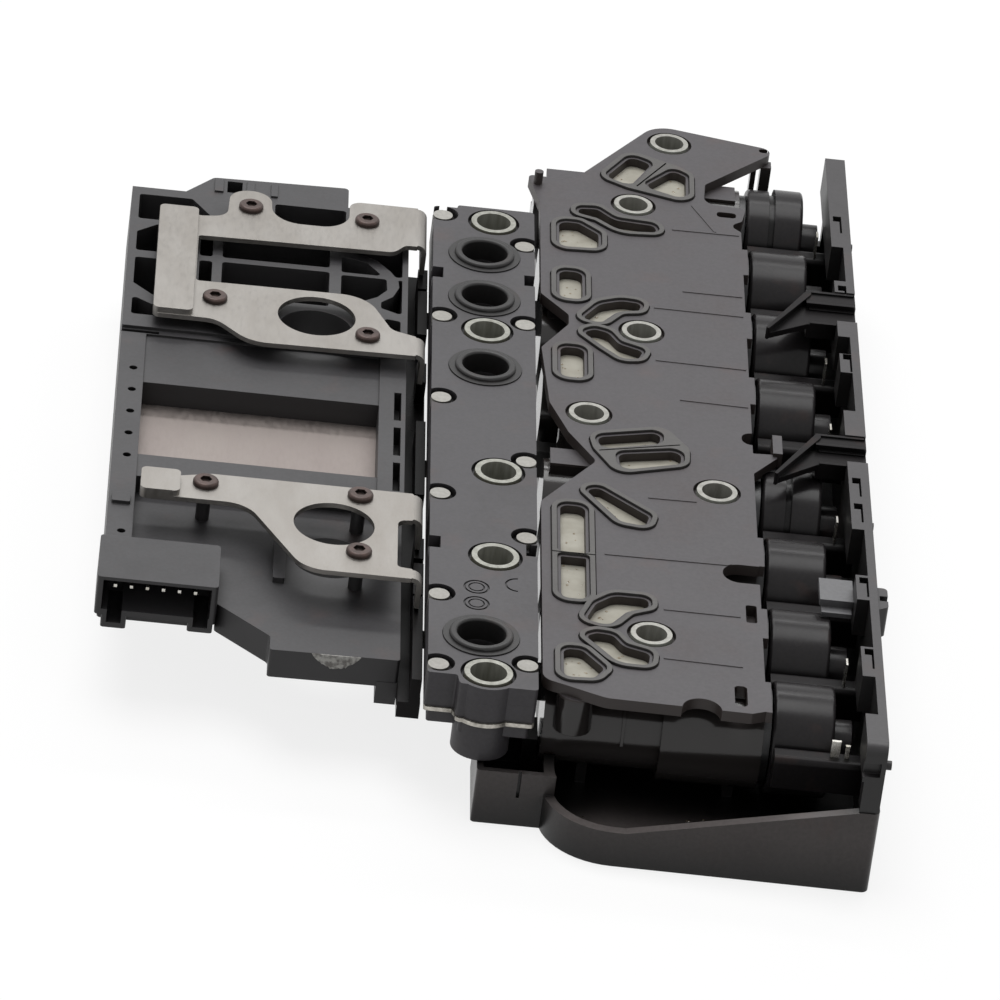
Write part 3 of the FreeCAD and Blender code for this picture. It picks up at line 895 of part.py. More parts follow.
def controller_housing():
    """Main moulding of the controller with the connector shroud."""
    far0, far1 = FAR_SECTION_Y
    lobe = [
        (CTRL_X0, SLAB_Y0 + 1, 0.5), (CTRL_X0, -30.0, 0.5), (cx(34.9), -30.0, 0.5), (cx(34.9), -38.4, 1.0),
        (cx(24.5), -48.3, 1.5), (cx(24.5), -53.1, 0.6), (CTRL_X1 + 0.2, -52.6, 0.6), (CTRL_X1, SLAB_Y0 + 1, 0.5),
    ]
    shelf = [
        (cx(47.0), far1 - 1, 0.5), (cx(46.0), far1, 1.0), (cx(40.4), far1 + 7.2, 1.5), (cx(12.6), far1 + 8.3, 1.0),
        (cx(12.6), far1 - 1, 0.5),
    ]
    solids = [
        box(CTRL_X0, CTRL_X1, far0, far1, CTRL_BOTTOM, FRAME_TOP),
        box(CTRL_X0, CTRL_X1, SLAB_Y0, far0, CTRL_BOTTOM, MID_FRAME_TOP),
        box(CTRL_X0, CTRL_X1, -14.0, SLAB_Y0, CTRL_BOTTOM, LOBE_TOP),
        box(CTRL_X0, CTRL_X0 + FRAME_LEFT, CONN_Y[1], SLAB_Y0, LOBE_BOTTOM, MID_FRAME_TOP),
        prism(lobe, LOBE_BOTTOM, LOBE_TOP),
        box(cx(3.8), CTRL_X1 + 0.2, -52.8, -14.0, CTRL_BOTTOM, LOBE_BOTTOM + 1),
        prism(shelf, POCKET_FLOOR + 1, FRAME_TOP),
        rounded_box(CONN_X0, CONN_X1, CONN_Y[0], CONN_Y[1], CONN_FLOOR_Z - 1.2, FRAME_TOP, 0.8),
        rounded_box(CONN_X0 + 0.6, CONN_X1 - 0.3, CONN_Y[0] + 3, CONN_Y[1] + 2, LOBE_BOTTOM, LOBE_TOP, 0.8),
        # feet of the shroud
        rounded_box(CONN_X0 + 1.4, CONN_X0 + 6.2, CONN_Y[0], CONN_Y[1], LOBE_BOTTOM - 0.2, CONN_FLOOR_Z, 0.6),
        rounded_box(CONN_X1 - 5.2, CONN_X1 - 0.4, CONN_Y[0], CONN_Y[1], LOBE_BOTTOM + 0.6, CONN_FLOOR_Z, 0.6),
        # small rib on the lobe, and a bump on the left frame
        rounded_box(cx(24.6), cx(22.3), -28.6, -13.7, LOBE_TOP - 1, LOBE_TOP + 1.2, 0.4),
        rounded_box(CTRL_X0 + 0.6, CTRL_X0 + 4.2, -11.6, -8.2, MID_FRAME_TOP - 1, MID_FRAME_TOP + 0.7, 0.4),
    ]
    for left, right in SHELF_RIBS:
        solids.append(box(cx(left), cx(right), far1 + 1.0, far1 + 6.4, FRAME_TOP - 1, FRAME_TOP + SHELF_RIB_RISE))
    for x, y in BRACKET_SCREWS:
        floor = LOBE_TOP if y < SLAB_Y0 else POCKET_FLOOR
        solids.append(post(x, y, POST_R, floor - 1, BRACKET_Z))
    housing = join(solids)

    left = CTRL_X0 + FRAME_LEFT
    right = CTRL_X1 - FRAME_RIGHT
    tools = [
        # slab and ledge a little below the frame, and the window down to the heat plate
        box(left, right, SLAB_Y0, far0 - 1.6, SLAB_TOP, FRAME_TOP + 1),
        box(left, right, WINDOW_Y[0], WINDOW_Y[1], HEAT_Z, FRAME_TOP + 1),
        box(left, CTRL_X1 + 1, -60, SLAB_Y0, LOBE_TOP, FRAME_TOP + 1).cut(
            box(CONN_X0, CONN_X1, CONN_Y[0] - 1, CONN_Y[1], LOBE_BOTTOM, FRAME_TOP + 2)).cut(
            box(cx(24.6), cx(22.3), -28.6, -13.7, LOBE_TOP, LOBE_TOP + 1.2)).cut(
            Part.makeCompound([post(x, y, POST_R, LOBE_TOP, BRACKET_Z) for x, y in BRACKET_SCREWS_LOWER])),
        # the heat plate's seat, and the board's room under it
        box(left - 1, right + 1, SLAB_Y0 - 10, far0 - 5, HEAT_Z, HEAT_TOP),
        box(BOARD_ROOM_X[0], BOARD_ROOM_X[1], BOARD_ROOM_Y[0], BOARD_ROOM_Y[1], CTRL_BOTTOM - 1, HEAT_Z + 0.1),
        # step along the right side, under the comb, and the groove before the far section
        box(CTRL_X0 - 1, left + 2.5, far0 - 1.4, far0 - 0.4, MID_FRAME_TOP - 0.8, FRAME_TOP + 1),
        # socket of the shroud
        box(CONN_X0 + CONN_WALL, CONN_X1 - CONN_WALL, CONN_Y[0] - 1, CONN_Y[0] + CONN_SOCKET_DEPTH,
            CONN_FLOOR_Z, FRAME_TOP - CONN_TOP_T),
        box(CONN_X0 + 2.4, CONN_X0 + 5.2, CONN_Y[0] - 1, CONN_Y[0] + CONN_SOCKET_DEPTH, LOBE_BOTTOM + 0.9, CONN_FLOOR_Z + 1),
        box(CONN_X1 - 4.2, CONN_X1 - 1.4, CONN_Y[0] - 1, CONN_Y[0] + CONN_SOCKET_DEPTH, LOBE_BOTTOM + 1.6, CONN_FLOOR_Z + 1),
        # room that the cover plate closes
        box(CTRL_X0 + 3, cx(3), -8.0, far1 - 3, CTRL_BOTTOM - 1, CTRL_BOTTOM + COVER_PLATE_T),
    ]
    for pocket in POCKETS:
        tools.append(prism([(x, y, RIB_R) for x, y in pocket], POCKET_FLOOR, FRAME_TOP + 1))
    tools.append(box(cx(SHELF_POCKET[0]), cx(SHELF_POCKET[1]), far1 + 1.4, far1 + 6.2, POCKET_FLOOR + 3, FRAME_TOP + 1))
    # vent dots down the left frame, and slots down the right one
    for y in VENT_Y:
        tools.append(post(CTRL_X0 + 2.9, y, VENT_R, MID_FRAME_TOP - 2, FRAME_TOP + 1))
    for k in range(3):
        back = SIDE_SLOT_PITCH * k
        tools.append(box(cx(2.3), cx(0.9), SIDE_SLOT_Y[0] - back, SIDE_SLOT_Y[1] - back, MID_FRAME_TOP - 4, FRAME_TOP + 1))
    # bolt passages, screw holes
    for x, y in (BOLT_WINDOW_UPPER, BOLT_WINDOW_LOWER):
        tools.append(post(x, y, BOLT_PASS_R, CTRL_BOTTOM - 1, FRAME_TOP + 1))
    for x, y in BRACKET_SCREWS:
        tools.append(post(x, y, SCREW_R + SEAT_GAP, BRACKET_Z - 6.5, BRACKET_Z + 1))
    return carve(housing, tools)


def bolt_passages():
    """Clearance cylinders through everything under the brackets' round windows."""
    return [post(x, y, BOLT_PASS_R + 1.2, 0, 30) for x, y in (BOLT_WINDOW_UPPER, BOLT_WINDOW_LOWER)]


PLATE_LEFT = CTRL_X0 + FRAME_LEFT - 1 + SEAT_GAP
PLATE_RIGHT = CTRL_X1 - FRAME_RIGHT + 1 - SEAT_GAP
HEAT_Y = (SLAB_Y0 - 10 + SEAT_GAP, FAR_SECTION_Y[0] - 5 - SEAT_GAP)
PIECES["controller_housing"] = controller_housing()
PIECES["controller_heat_plate"] = carve(
    box(PLATE_LEFT, PLATE_RIGHT, HEAT_Y[0], HEAT_Y[1], HEAT_Z, HEAT_TOP), bolt_passages())
PIECES["controller_cover_plate"] = carve(
    box(CTRL_X0 + 3 + SEAT_GAP, cx(3) - SEAT_GAP, -8.0 + SEAT_GAP, FAR_SECTION_Y[1] - 3 - SEAT_GAP,
        CTRL_BOTTOM, CTRL_BOTTOM + COVER_PLATE_T), bolt_passages())
BOARD_X = (BOARD_ROOM_X[0] + BODY_GAP, BOARD_ROOM_X[1] - BODY_GAP)
BOARD_Y = (BOARD_ROOM_Y[0] + BODY_GAP, BOARD_ROOM_Y[1] - BODY_GAP)
PIECES["circuit_board"] = carve(
    box(BOARD_X[0], BOARD_X[1], BOARD_Y[0], BOARD_Y[1], BOARD_Z, BOARD_Z + BOARD_T), bolt_passages())
BOARD_TOP = BOARD_Z + BOARD_T
COMPONENT_ROOM = HEAT_Z - BOARD_TOP
COMPONENTS = [(8, 8, 14, 14, 1.0), (26, 10, 9, 9, 1.0), (8, 30, 9, 7, 1.0), (22, 28, 7, 12, 0.8), (34, 26, 6, 6, 0.8)]
PIECES["board_components"] = separate([
    box(BOARD_X[0] + x, BOARD_X[0] + x + w, BOARD_Y[0] + y, BOARD_Y[0] + y + d, BOARD_TOP, BOARD_TOP + COMPONENT_ROOM * share)
    for x, y, w, d, share in COMPONENTS])


def connector_pin(k):
    """One square pin that stands out of the socket's back wall."""
    x = (CONN_X0 + CONN_X1) / 2 - 0.3 + (k - (PIN_COUNT - 1) / 2) * PIN_PITCH
    back = CONN_Y[0] + CONN_SOCKET_DEPTH
    half = PIN_SIDE / 2
    return box(x - half, x + half, back - PIN_LENGTH, back, PIN_Z - half, PIN_Z + half)


PIECES["connector_pins"] = separate([connector_pin(k) for k in range(PIN_COUNT)])


def lip(y0, y1):
    """Turned-down end of a bracket: a bend and a short flange."""
    top = BRACKET_Z + SHEET_T
    outer = BEND_R + SHEET_T
    centre = V(BEND_X, 0, top - outer)
    bend = Part.makeCylinder(outer, y1 - y0, V(centre.x, y0, centre.z), V(0, 1, 0)).cut(
        Part.makeCylinder(BEND_R, y1 - y0, V(centre.x, y0, centre.z), V(0, 1, 0)))
    bend = bend.common(box(BEND_X, BEND_X + outer, y0, y1, centre.z, top))
    return [bend, box(BEND_X + BEND_R, BEND_X + outer, y0, y1, LIP_Z, centre.z)]


UPPER_OUTLINE = [
    (cx(51.2), 58.5, 1.5), (cx(51.2), 101.8, 1.8), (cx(42.4), 100.8, 2.0), (cx(37.4), 101.8, 3.4),
    (cx(37.0), 113.4, 4.4), (cx(28.6), 113.4, 4.4), (cx(28.2), 101.3, 6.5), (cx(12.6), 101.3, 6.5),
    (cx(12.5), 113.1, 2.5), (BEND_X + 0.01, 113.1, 0.2), (BEND_X + 0.01, 96.8, 0.2), (cx(0.9), 96.8, 1.6),
    (cx(3.2), 93.4, 2.6), (cx(43.0), 92.4, 0.8), (cx(43.0), 73.4, 0.8), (cx(8.6), 73.8, 8.0),
    (cx(3.4), 61.0, 3.0), (BEND_X + 0.01, 59.2, 0.3), (BEND_X + 0.01, 51.4, 0.3), (cx(31.6), 50.6, 8.0),
    (cx(38.6), 58.4, 5.0),
]
LOWER_OUTLINE = [
    (cx(51.2), -13.0, 1.2), (cx(51.2), -4.8, 1.5), (cx(43.6), -4.8, 0.4), (cx(37.6), -3.0, 3.0),
    (BEND_X + 0.01, -3.0, 0.4), (BEND_X + 0.01, -13.2, 0.4), (cx(1.4), -13.6, 1.8), (cx(1.4), -31.0, 1.0),
    (BEND_X + 0.01, -31.4, 0.3), (BEND_X + 0.01, -35.0, 0.3), (cx(19.2), -35.0, 7.0), (cx(30.6), -13.0, 7.0),
]


def bracket(corners, screws, bolt_window, lips, hem):
    """Sheet blank with holes, turned-down ends and a hem folded back over its left end."""
    top = BRACKET_Z + SHEET_T
    solids = [prism(corners, BRACKET_Z, top)]
    for y0, y1 in lips:
        solids += lip(y0, y1)
    hem_y0, hem_y1, hem_width = hem
    x0 = cx(51.2)
    solids.append(rounded_box(x0, x0 + hem_width, hem_y0, hem_y1, top - 0.1, top + HEM_RISE + SHEET_T, 1.2))
    tools = [post(x, y, SCREW_R + 0.3, BRACKET_Z - 1, top + 1) for x, y in screws]
    tools.append(post(bolt_window[0], bolt_window[1], BOLT_WINDOW_R, BRACKET_Z - 1, top + 1))
    return carve(join(solids), tools)


PIECES["upper_bracket"] = bracket(UPPER_OUTLINE, BRACKET_SCREWS_UPPER, BOLT_WINDOW_UPPER,
                                  [(97.2, 112.6), (51.8, 58.8)], (58.6, 101.8, 7.9))
PIECES["lower_bracket"] = bracket(LOWER_OUTLINE, BRACKET_SCREWS_LOWER, BOLT_WINDOW_LOWER,
                                  [(-12.8, -3.5), (-34.8, -31.8)], (-13.0, -4.8, 7.6))


def bracket_screw(x, y):
    """Pan-head screw with a six-sided recess."""
    top = BRACKET_Z + SHEET_T
    head = post(x, y, SCREW_HEAD_R, top, top + SCREW_HEAD_T)
    rim = [e for e in head.Edges if abs(e.BoundBox.ZMin - top - SCREW_HEAD_T) < 0.01 and e.BoundBox.ZLength < 0.01]
    head = head.makeFillet(SCREW_ROUND, rim)
    shank = post(x, y, SCREW_R, BRACKET_Z - 6.0, top + 0.1)
    corner_angles = [math.radians(60 * k) for k in range(6)]
    floor = top + SCREW_HEAD_T - SOCKET_DEPTH
    hexagon = Part.makePolygon([V(x + SOCKET_R * math.cos(a), y + SOCKET_R * math.sin(a), floor)
                                for a in corner_angles + corner_angles[:1]])
    recess = Part.Face(hexagon).extrude(V(0, 0, 2))
    return join([head, shank]).cut(recess)


PIECES["bracket_screws"] = separate([bracket_screw(x, y) for x, y in BRACKET_SCREWS])

# Comb between the controller and the strip: a low bar with upright teeth
COMB_TEETH = [(92.4, 100.4), (73.4, 91.4), (53.9, 61.6), (9.4, 38.2), (-15.0, -7.4), (-28.4, -16.8), (-59.6, -29.2)]
COMB_TOP = 22.0
COMB_Z = 13.4


def interconnect_comb():
    """Moulded comb that carries the leads from the controller to the strip."""
    x0 = CTRL_X1 + 0.2
    x1 = STRIP_X0 - BODY_GAP
    bar = box(x0, x1, COMB_TEETH[-1][0], COMB_TEETH[0][1] + 6, COMB_Z, COMB_Z + 3.4)
    ties = [box(x0, STRIP_X0 + 3.0, y - 2, y + 2, LOWER_Z - 1.6, LOWER_Z) for y in COMB_TIES_Y]
    teeth = [box(x0 + 2.2, x1 - 0.2, y0, y1, COMB_Z + 3, COMB_TOP) for y0, y1 in COMB_TEETH]
    return join([bar] + teeth + ties)


COMB_TIES_Y = (90.0, 30.0, -35.0)
PIECES["interconnect_comb"] = interconnect_comb()

# The origin goes under the middle of everything
bounds = Part.makeCompound(list(PIECES.values())).BoundBox
SHIFT = V(-(bounds.XMin + bounds.XMax) / 2, -(bounds.YMin + bounds.YMax) / 2, -bounds.ZMin)
os.makedirs("parts", exist_ok=True)
for name, shape in PIECES.items():
    placed = shape.copy()
    placed.translate(SHIFT)
    placed.exportStep("parts/%s.step" % name)
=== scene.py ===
"""Looks of the transmission control module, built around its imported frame."""
import math
import random

import bmesh
import bpy
from mathutils import Matrix, Vector


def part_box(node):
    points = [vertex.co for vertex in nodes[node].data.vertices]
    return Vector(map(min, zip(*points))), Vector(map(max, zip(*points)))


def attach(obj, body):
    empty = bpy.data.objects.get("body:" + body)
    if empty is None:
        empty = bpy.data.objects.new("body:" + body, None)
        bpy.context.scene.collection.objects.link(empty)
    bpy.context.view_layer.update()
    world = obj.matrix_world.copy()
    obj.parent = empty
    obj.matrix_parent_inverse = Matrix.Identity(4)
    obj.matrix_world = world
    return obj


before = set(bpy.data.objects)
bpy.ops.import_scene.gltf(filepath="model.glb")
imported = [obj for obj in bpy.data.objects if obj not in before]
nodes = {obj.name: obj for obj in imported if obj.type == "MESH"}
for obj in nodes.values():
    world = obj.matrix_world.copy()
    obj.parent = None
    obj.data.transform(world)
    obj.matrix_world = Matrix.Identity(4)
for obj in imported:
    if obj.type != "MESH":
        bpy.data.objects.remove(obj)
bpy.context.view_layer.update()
MM = 0.001

# The photographer's view
# A long lens about 1.6 m away, above the connector end and rolled a little, so that the module's
# long side climbs to the upper right of the square picture.
SENSOR_MM = 36.0
LENS_MM = 305.2
VIEW_AZIMUTH = math.radians(3.89)
VIEW_ELEVATION = math.radians(30.01)
VIEW_ROLL = math.radians(7.64)
AIM_POINT = Vector((1.1, -39.0, 28.0)) * MM
AIM_HEIGHT = 820.0 * MM

forward = Vector((math.sin(VIEW_AZIMUTH) * math.cos(VIEW_ELEVATION),
                  math.cos(VIEW_AZIMUTH) * math.cos(VIEW_ELEVATION),
                  -math.sin(VIEW_ELEVATION)))
level_right = Vector((math.cos(VIEW_AZIMUTH), -math.sin(VIEW_AZIMUTH), 0.0))
level_down = forward.cross(level_right)
right = level_right * math.cos(VIEW_ROLL) - level_down * math.sin(VIEW_ROLL)
down = level_right * math.sin(VIEW_ROLL) + level_down * math.cos(VIEW_ROLL)
camera_data = bpy.data.cameras.new("photo_camera")
camera_data.sensor_width = SENSOR_MM
camera_data.lens = LENS_MM
camera_data.clip_end = 20.0
camera = bpy.data.objects.new("photo_camera", camera_data)
bpy.context.scene.collection.objects.link(camera)
axes = Matrix((right, -down, -forward)).transposed()
place = AIM_POINT - forward * (AIM_HEIGHT / math.sin(VIEW_ELEVATION))
camera.matrix_world = Matrix.Translation(place) @ axes.to_4x4()
bpy.context.scene.camera = camera
bpy.context.scene.view_settings.view_transform = "Standard"


# The white table and the soft studio light
# Matte white paper under a wide overhead light, with a strip light behind the module that runs
# along the glossy tubes and cans.
def srgb(code):
    """Linear colour with alpha of an sRGB hex value."""
    parts = [int(code[k:k + 2], 16) / 255 for k in (1, 3, 5)]
    linear = [c / 12.92 if c <= 0.04045 else ((c + 0.055) / 1.055) ** 2.4 for c in parts]
    return (*linear, 1.0)


def add(tree, kind, inputs=(), **settings):
    """One shader node with its settings; an input is a value or another node's output."""
    node = tree.nodes.new(kind)
    for name, value in settings.items():
        setattr(node, name, value)
    for socket, value in dict(inputs).items():
        if isinstance(value, bpy.types.NodeSocket):
            tree.links.new(value, node.inputs[socket])
        else:
            node.inputs[socket].default_value = value
    return node


def new_material(name):
    """Empty node material and its tree."""
    material = bpy.data.materials.new(name)
    material.use_nodes = True
    material.node_tree.nodes.clear()
    return material, material.node_tree


def new_object(name, mesh):
    """Object in the scene that holds a mesh."""
    thing = bpy.data.objects.new(name, mesh)
    bpy.context.scene.collection.objects.link(thing)
    return thing


PAPER_SIDE = 6.0
PAPER_SEEN = "#fcfcfc"
PAPER_BOUNCE = "#5a5a5a"    # what the paper gives back to the module
PAPER_GLOW = 0.82           # keeps the shadow faint, as on an overexposed studio table
WORLD_LIGHT = 0.40
SUN_LIGHT = 1.85
STRIP_POWER = 1.6

paper_mesh = bpy.data.meshes.new("white_paper")
half = PAPER_SIDE / 2
corners = [(-half, -half, 0), (half, -half, 0), (half, half, 0), (-half, half, 0)]
paper_mesh.from_pydata(corners, [], [(0, 1, 2, 3)])
paper = new_object("white_paper", paper_mesh)
paper.location.z = -0.0002
paper_material, tree = new_material("matte_white_paper")
ray = add(tree, "ShaderNodeLightPath")
seen = add(tree, "ShaderNodeMath", {0: ray.outputs["Is Camera Ray"], 1: ray.outputs["Is Glossy Ray"]},
           operation="MAXIMUM")
seen = add(tree, "ShaderNodeMath", {0: seen.outputs[0], 1: ray.outputs["Is Transmission Ray"]},
           operation="MAXIMUM")
tone = add(tree, "ShaderNodeMix", {0: seen.outputs[0], 6: srgb(PAPER_BOUNCE), 7: srgb(PAPER_SEEN)},
           data_type="RGBA")
diffuse = add(tree, "ShaderNodeBsdfDiffuse", {"Color": tone.outputs[2]})
glow = add(tree, "ShaderNodeEmission", {"Color": srgb("#ffffff"), "Strength": 1.0})
share = add(tree, "ShaderNodeMath", {0: seen.outputs[0], 1: PAPER_GLOW}, operation="MULTIPLY")
surface = add(tree, "ShaderNodeMixShader", {0: share.outputs[0], 1: diffuse.outputs[0], 2: glow.outputs[0]})
add(tree, "ShaderNodeOutputMaterial", {"Surface": surface.outputs[0]})
paper_mesh.materials.append(paper_material)

world = bpy.data.worlds.new("studio")
bpy.context.scene.world = world
world.use_nodes = True
tree = world.node_tree
tree.nodes.clear()
ray = add(tree, "ShaderNodeLightPath")
seen = add(tree, "ShaderNodeMath", {0: ray.outputs["Is Camera Ray"], 1: ray.outputs["Is Glossy Ray"]},
           operation="MAXIMUM")
seen = add(tree, "ShaderNodeMath", {0: seen.outputs[0], 1: ray.outputs["Is Transmission Ray"]},
           operation="MAXIMUM")
level = add(tree, "ShaderNodeMix", {0: seen.outputs[0], 2: WORLD_LIGHT, 3: 1.0}, data_type="FLOAT")
sky = add(tree, "ShaderNodeBackground", {"Color": (1, 1, 1, 1), "Strength": level.outputs[0]})
add(tree, "ShaderNodeOutputWorld", {"Surface": sky.outputs[0]})

sun_data = bpy.data.lights.new("overhead_light", "SUN")
sun_data.energy = SUN_LIGHT
sun_data.angle = math.radians(40)
sun = bpy.data.objects.new("overhead_light", sun_data)
sun.rotation_euler = (math.radians(-14), math.radians(-8), 0)
bpy.context.scene.collection.objects.link(sun)

strip_data = bpy.data.lights.new("strip_light", "AREA")
strip_data.shape = "RECTANGLE"
strip_data.size = 0.9
strip_data.size_y = 0.08
strip_data.energy = STRIP_POWER
strip = bpy.data.objects.new("strip_light", strip_data)
strip.location = (0.05, 0.55, 0.62)
strip.rotation_euler = Vector((0.0, 0.55, 0.62)).to_track_quat("Z", "Y").to_euler()
bpy.context.scene.collection.objects.link(strip)


# Grey glass-filled nylon mouldings
# The manifold plate, the strip's layers, the rail and the controller's case are injection moulded
# in dark grey glass-filled nylon. It is matte with a fine grain, and oil has stained it faintly.
# Painted shade darkens their recesses, and the upright faces of some.
EDGE_ROUND = 0.14 * MM
GRAIN = 0.35 * MM
STAIN = 22.0 * MM
HOLLOW = (0.25, 0.8)        # shares of open sky with all of the painted recess shade, and with none


def rounded_edges(tree, radius=EDGE_ROUND):
    """Shading normal that rounds every sharp edge a little."""
    return add(tree, "ShaderNodeBevel", {"Radius": radius}, samples=4).outputs[0]


def noise(tree, place, size, detail=3.0, rough=0.5):
    """Noise whose blotches measure about size metres."""
    return add(tree, "ShaderNodeTexNoise",
               {"Vector": place, "Scale": 1 / size, "Detail": detail, "Roughness": rough})


def painted_recess_shade(tree, colour, recess_paint, reach=3.0 * MM, hollow=HOLLOW):
    """Colour with painted shade in recesses: it turns to another, painted colour where little open sky is seen."""
    open_sky = add(tree, "ShaderNodeAmbientOcclusion", {"Distance": reach}, samples=6)
    amount = add(tree, "ShaderNodeMapRange",
                 {0: open_sky.outputs["AO"], 1: hollow[0], 2: hollow[1], 3: 1.0, 4: 0.0})
    mixed = add(tree, "ShaderNodeMix", {0: amount.outputs[0], 6: colour, 7: srgb(recess_paint)}, data_type="RGBA")
    return mixed.outputs[2]


def height_mask(tree, place, level):
    """1 above a height of the module, 0 below it."""
    height = add(tree, "ShaderNodeSeparateXYZ", {0: place})
    step = add(tree, "ShaderNodeMapRange", {0: height.outputs[2], 1: level - 0.2 * MM, 2: level, 3: 0.0, 4: 1.0})
    return step.outputs[0]


def moulded(name, colour, stain_colour, gloss_rough, stain_amount=0.35, grain_depth=0.012 * MM, shine=0.5,
            painted_recess_colour="#121111", reach=3.0 * MM, below=None, painted_side_shade=None, hollow=HOLLOW):
    """Moulded plastic: faint stains, grain and softly varied gloss, with painted shade in recesses.

    below is a height, and the colour and roughness of what lies under it; sides is painted shade on the
    upright faces, darker than the tops under the overhead light; hollow is where the painted recess shade starts
    and ends."""
    material, tree = new_material(name)
    place = add(tree, "ShaderNodeTexCoord").outputs["Object"]
    cloud = noise(tree, place, STAIN, 4.0, 0.62)
    spread = add(tree, "ShaderNodeMapRange", {0: cloud.outputs[0], 1: 0.48, 2: 0.74, 3: 0.0, 4: stain_amount})
    speckle = noise(tree, place, GRAIN * 2.2, 2.0)
    fleck = add(tree, "ShaderNodeMapRange", {0: speckle.outputs[0], 1: 0.3, 2: 0.7, 3: 0.9, 4: 1.1})
    base = add(tree, "ShaderNodeMix", {0: spread.outputs[0], 6: srgb(colour), 7: srgb(stain_colour)},
               data_type="RGBA")
    flecked = add(tree, "ShaderNodeVectorMath", {0: base.outputs[2], "Scale": fleck.outputs[0]}, operation="SCALE")
    rough = add(tree, "ShaderNodeMapRange",
                {0: cloud.outputs[0], 1: 0.3, 2: 0.7, 3: gloss_rough - 0.05, 4: gloss_rough + 0.07})
    rust = noise(tree, place, STAIN / 2.5, 3.0, 0.55)
    spots = add(tree, "ShaderNodeMapRange", {0: rust.outputs[0], 1: 0.6, 2: 0.8, 3: 0.0, 4: 0.22})
    rusty = add(tree, "ShaderNodeMix", {0: spots.outputs[0], 6: flecked.outputs[0], 7: srgb("#5a4038")},
                data_type="RGBA")
    tinted = rusty.outputs[2]
    # Painted shade: the upright faces turn to a darker colour than the tops, as the overhead light leaves them.
    if painted_side_shade:
        facing = add(tree, "ShaderNodeSeparateXYZ", {0: add(tree, "ShaderNodeNewGeometry").outputs["True Normal"]})
        side_shade_mask = add(tree, "ShaderNodeMapRange", {0: facing.outputs[2], 1: 0.3, 2: 0.9, 3: 0.0, 4: 1.0})
        mixed = add(tree, "ShaderNodeMix", {0: side_shade_mask.outputs[0], 6: srgb(painted_side_shade), 7: tinted}, data_type="RGBA")
        tinted = mixed.outputs[2]
    if below:
        level, low_colour, low_rough = below
        above = height_mask(tree, place, level)
        mixed = add(tree, "ShaderNodeMix", {0: above, 6: srgb(low_colour), 7: tinted}, data_type="RGBA")
        tinted = mixed.outputs[2]
        rough = add(tree, "ShaderNodeMix", {0: above, 2: low_rough, 3: rough.outputs[0]}, data_type="FLOAT")
    # Painted shade in the recesses, placed by ambient occlusion.
    tinted = painted_recess_shade(tree, tinted, painted_recess_colour, reach, hollow)
    grain = noise(tree, place, GRAIN, 2.0)
    bump = add(tree, "ShaderNodeBump", {"Strength": 0.55, "Distance": grain_depth, "Height": grain.outputs[0],
                                        "Normal": rounded_edges(tree)})
    shader = add(tree, "ShaderNodeBsdfPrincipled", {"Base Color": tinted, "Roughness": rough.outputs[0],
                                                    "IOR": 1.5, "Specular IOR Level": shine,
                                                    "Normal": bump.outputs[0]})
    add(tree, "ShaderNodeOutputMaterial", {"Surface": shader.outputs[0]})
    return material


def dress(material, *names):
    """Gives CAD nodes a material and smooth shading below a sharp angle."""
    for name in names:
        mesh = nodes[name].data
        mesh.materials.clear()
        mesh.materials.append(material)
        mesh.shade_smooth()
        mesh.set_sharp_from_angle(angle=math.radians(32))


UNDER_PLATE = 25.4 * MM     # the plate's tubes and legs lie below this height, wet with oil
# The plate, the case and the rail get painted shade on their upright faces and in their recesses.
plate_nylon = moulded("stained_grey_nylon", "#413e41", "#473b38", 0.46, shine=0.4, painted_recess_colour="#211a17",
                      below=(UNDER_PLATE, "#322f2e", 0.15), painted_side_shade="#37312f")
strip_nylon = moulded("grey_nylon", "#3e3c3f", "#343232", 0.46, 0.5, shine=0.4)
case_nylon = moulded("dark_grey_nylon", "#373638", "#2c2b2c", 0.46, 0.5, shine=0.4, painted_side_shade="#302f30")
rail_nylon = moulded("oily_grey_nylon_painted_side_shade", "#363436", "#2d2b2c", 0.4, 0.5, shine=0.4, reach=5 * MM, painted_side_shade="#161515")
dress(plate_nylon, "manifold_body")
dress(strip_nylon, "strip_cover", "strip_body", "strip_lower_body")
dress(case_nylon, "controller_housing")
dress(rail_nylon, "lead_frame_rail")

# Black nylon mouldings
# The tub, the comb, the coil plugs and the arms are black nylon wet with oil; painted shade makes them
# darkest where they lie between other pieces. The clip over two cans is a lighter nylon, worn dull.
tub_nylon = moulded("oily_black_nylon", "#544f4e", "#484342", 0.34, 0.5, 0.006 * MM, shine=0.3, painted_recess_colour="#040404",
                    reach=12 * MM, hollow=(0.55, 0.98))
wet_nylon = moulded("wet_black_nylon", "#211f20", "#1b1a1a", 0.3, 0.5, 0.004 * MM, shine=0.08, painted_recess_colour="#050505",
                    reach=6 * MM, hollow=(0.5, 0.98))
dress(tub_nylon, "base_housing")
dress(wet_nylon, "interconnect_comb", "coil_plugs", "rail_arms")
pale_nylon = moulded("worn_grey_nylon", "#5f5f61", "#505052", 0.45)
dress(pale_nylon, "bridge_clip")

# Heat stakes
# Natural nylon pins, staked flat through the cover with a hot tool.
# Painted shade darkens the pins where they stand in recesses.
stake_nylon = moulded("natural_nylon", "#a3a19b", "#8b8880", 0.55, 0.6, painted_recess_colour="#4c4a45")
dress(stake_nylon, "stake_pins")

# Rubber seals
# Moulded nitrile rubber: the beads round the windows, the port rings and the sleeve rings.
bead_rubber = moulded("grey_nitrile_rubber", "#454341", "#373533", 0.48, 0.6, 0.004 * MM)
ring_rubber = moulded("black_nitrile_rubber", "#232222", "#1c1b1b", 0.42, 0.6, 0.004 * MM, shine=0.35)
dress(bead_rubber, "window_seals")
dress(ring_rubber, "port_seals", "sleeve_seals")


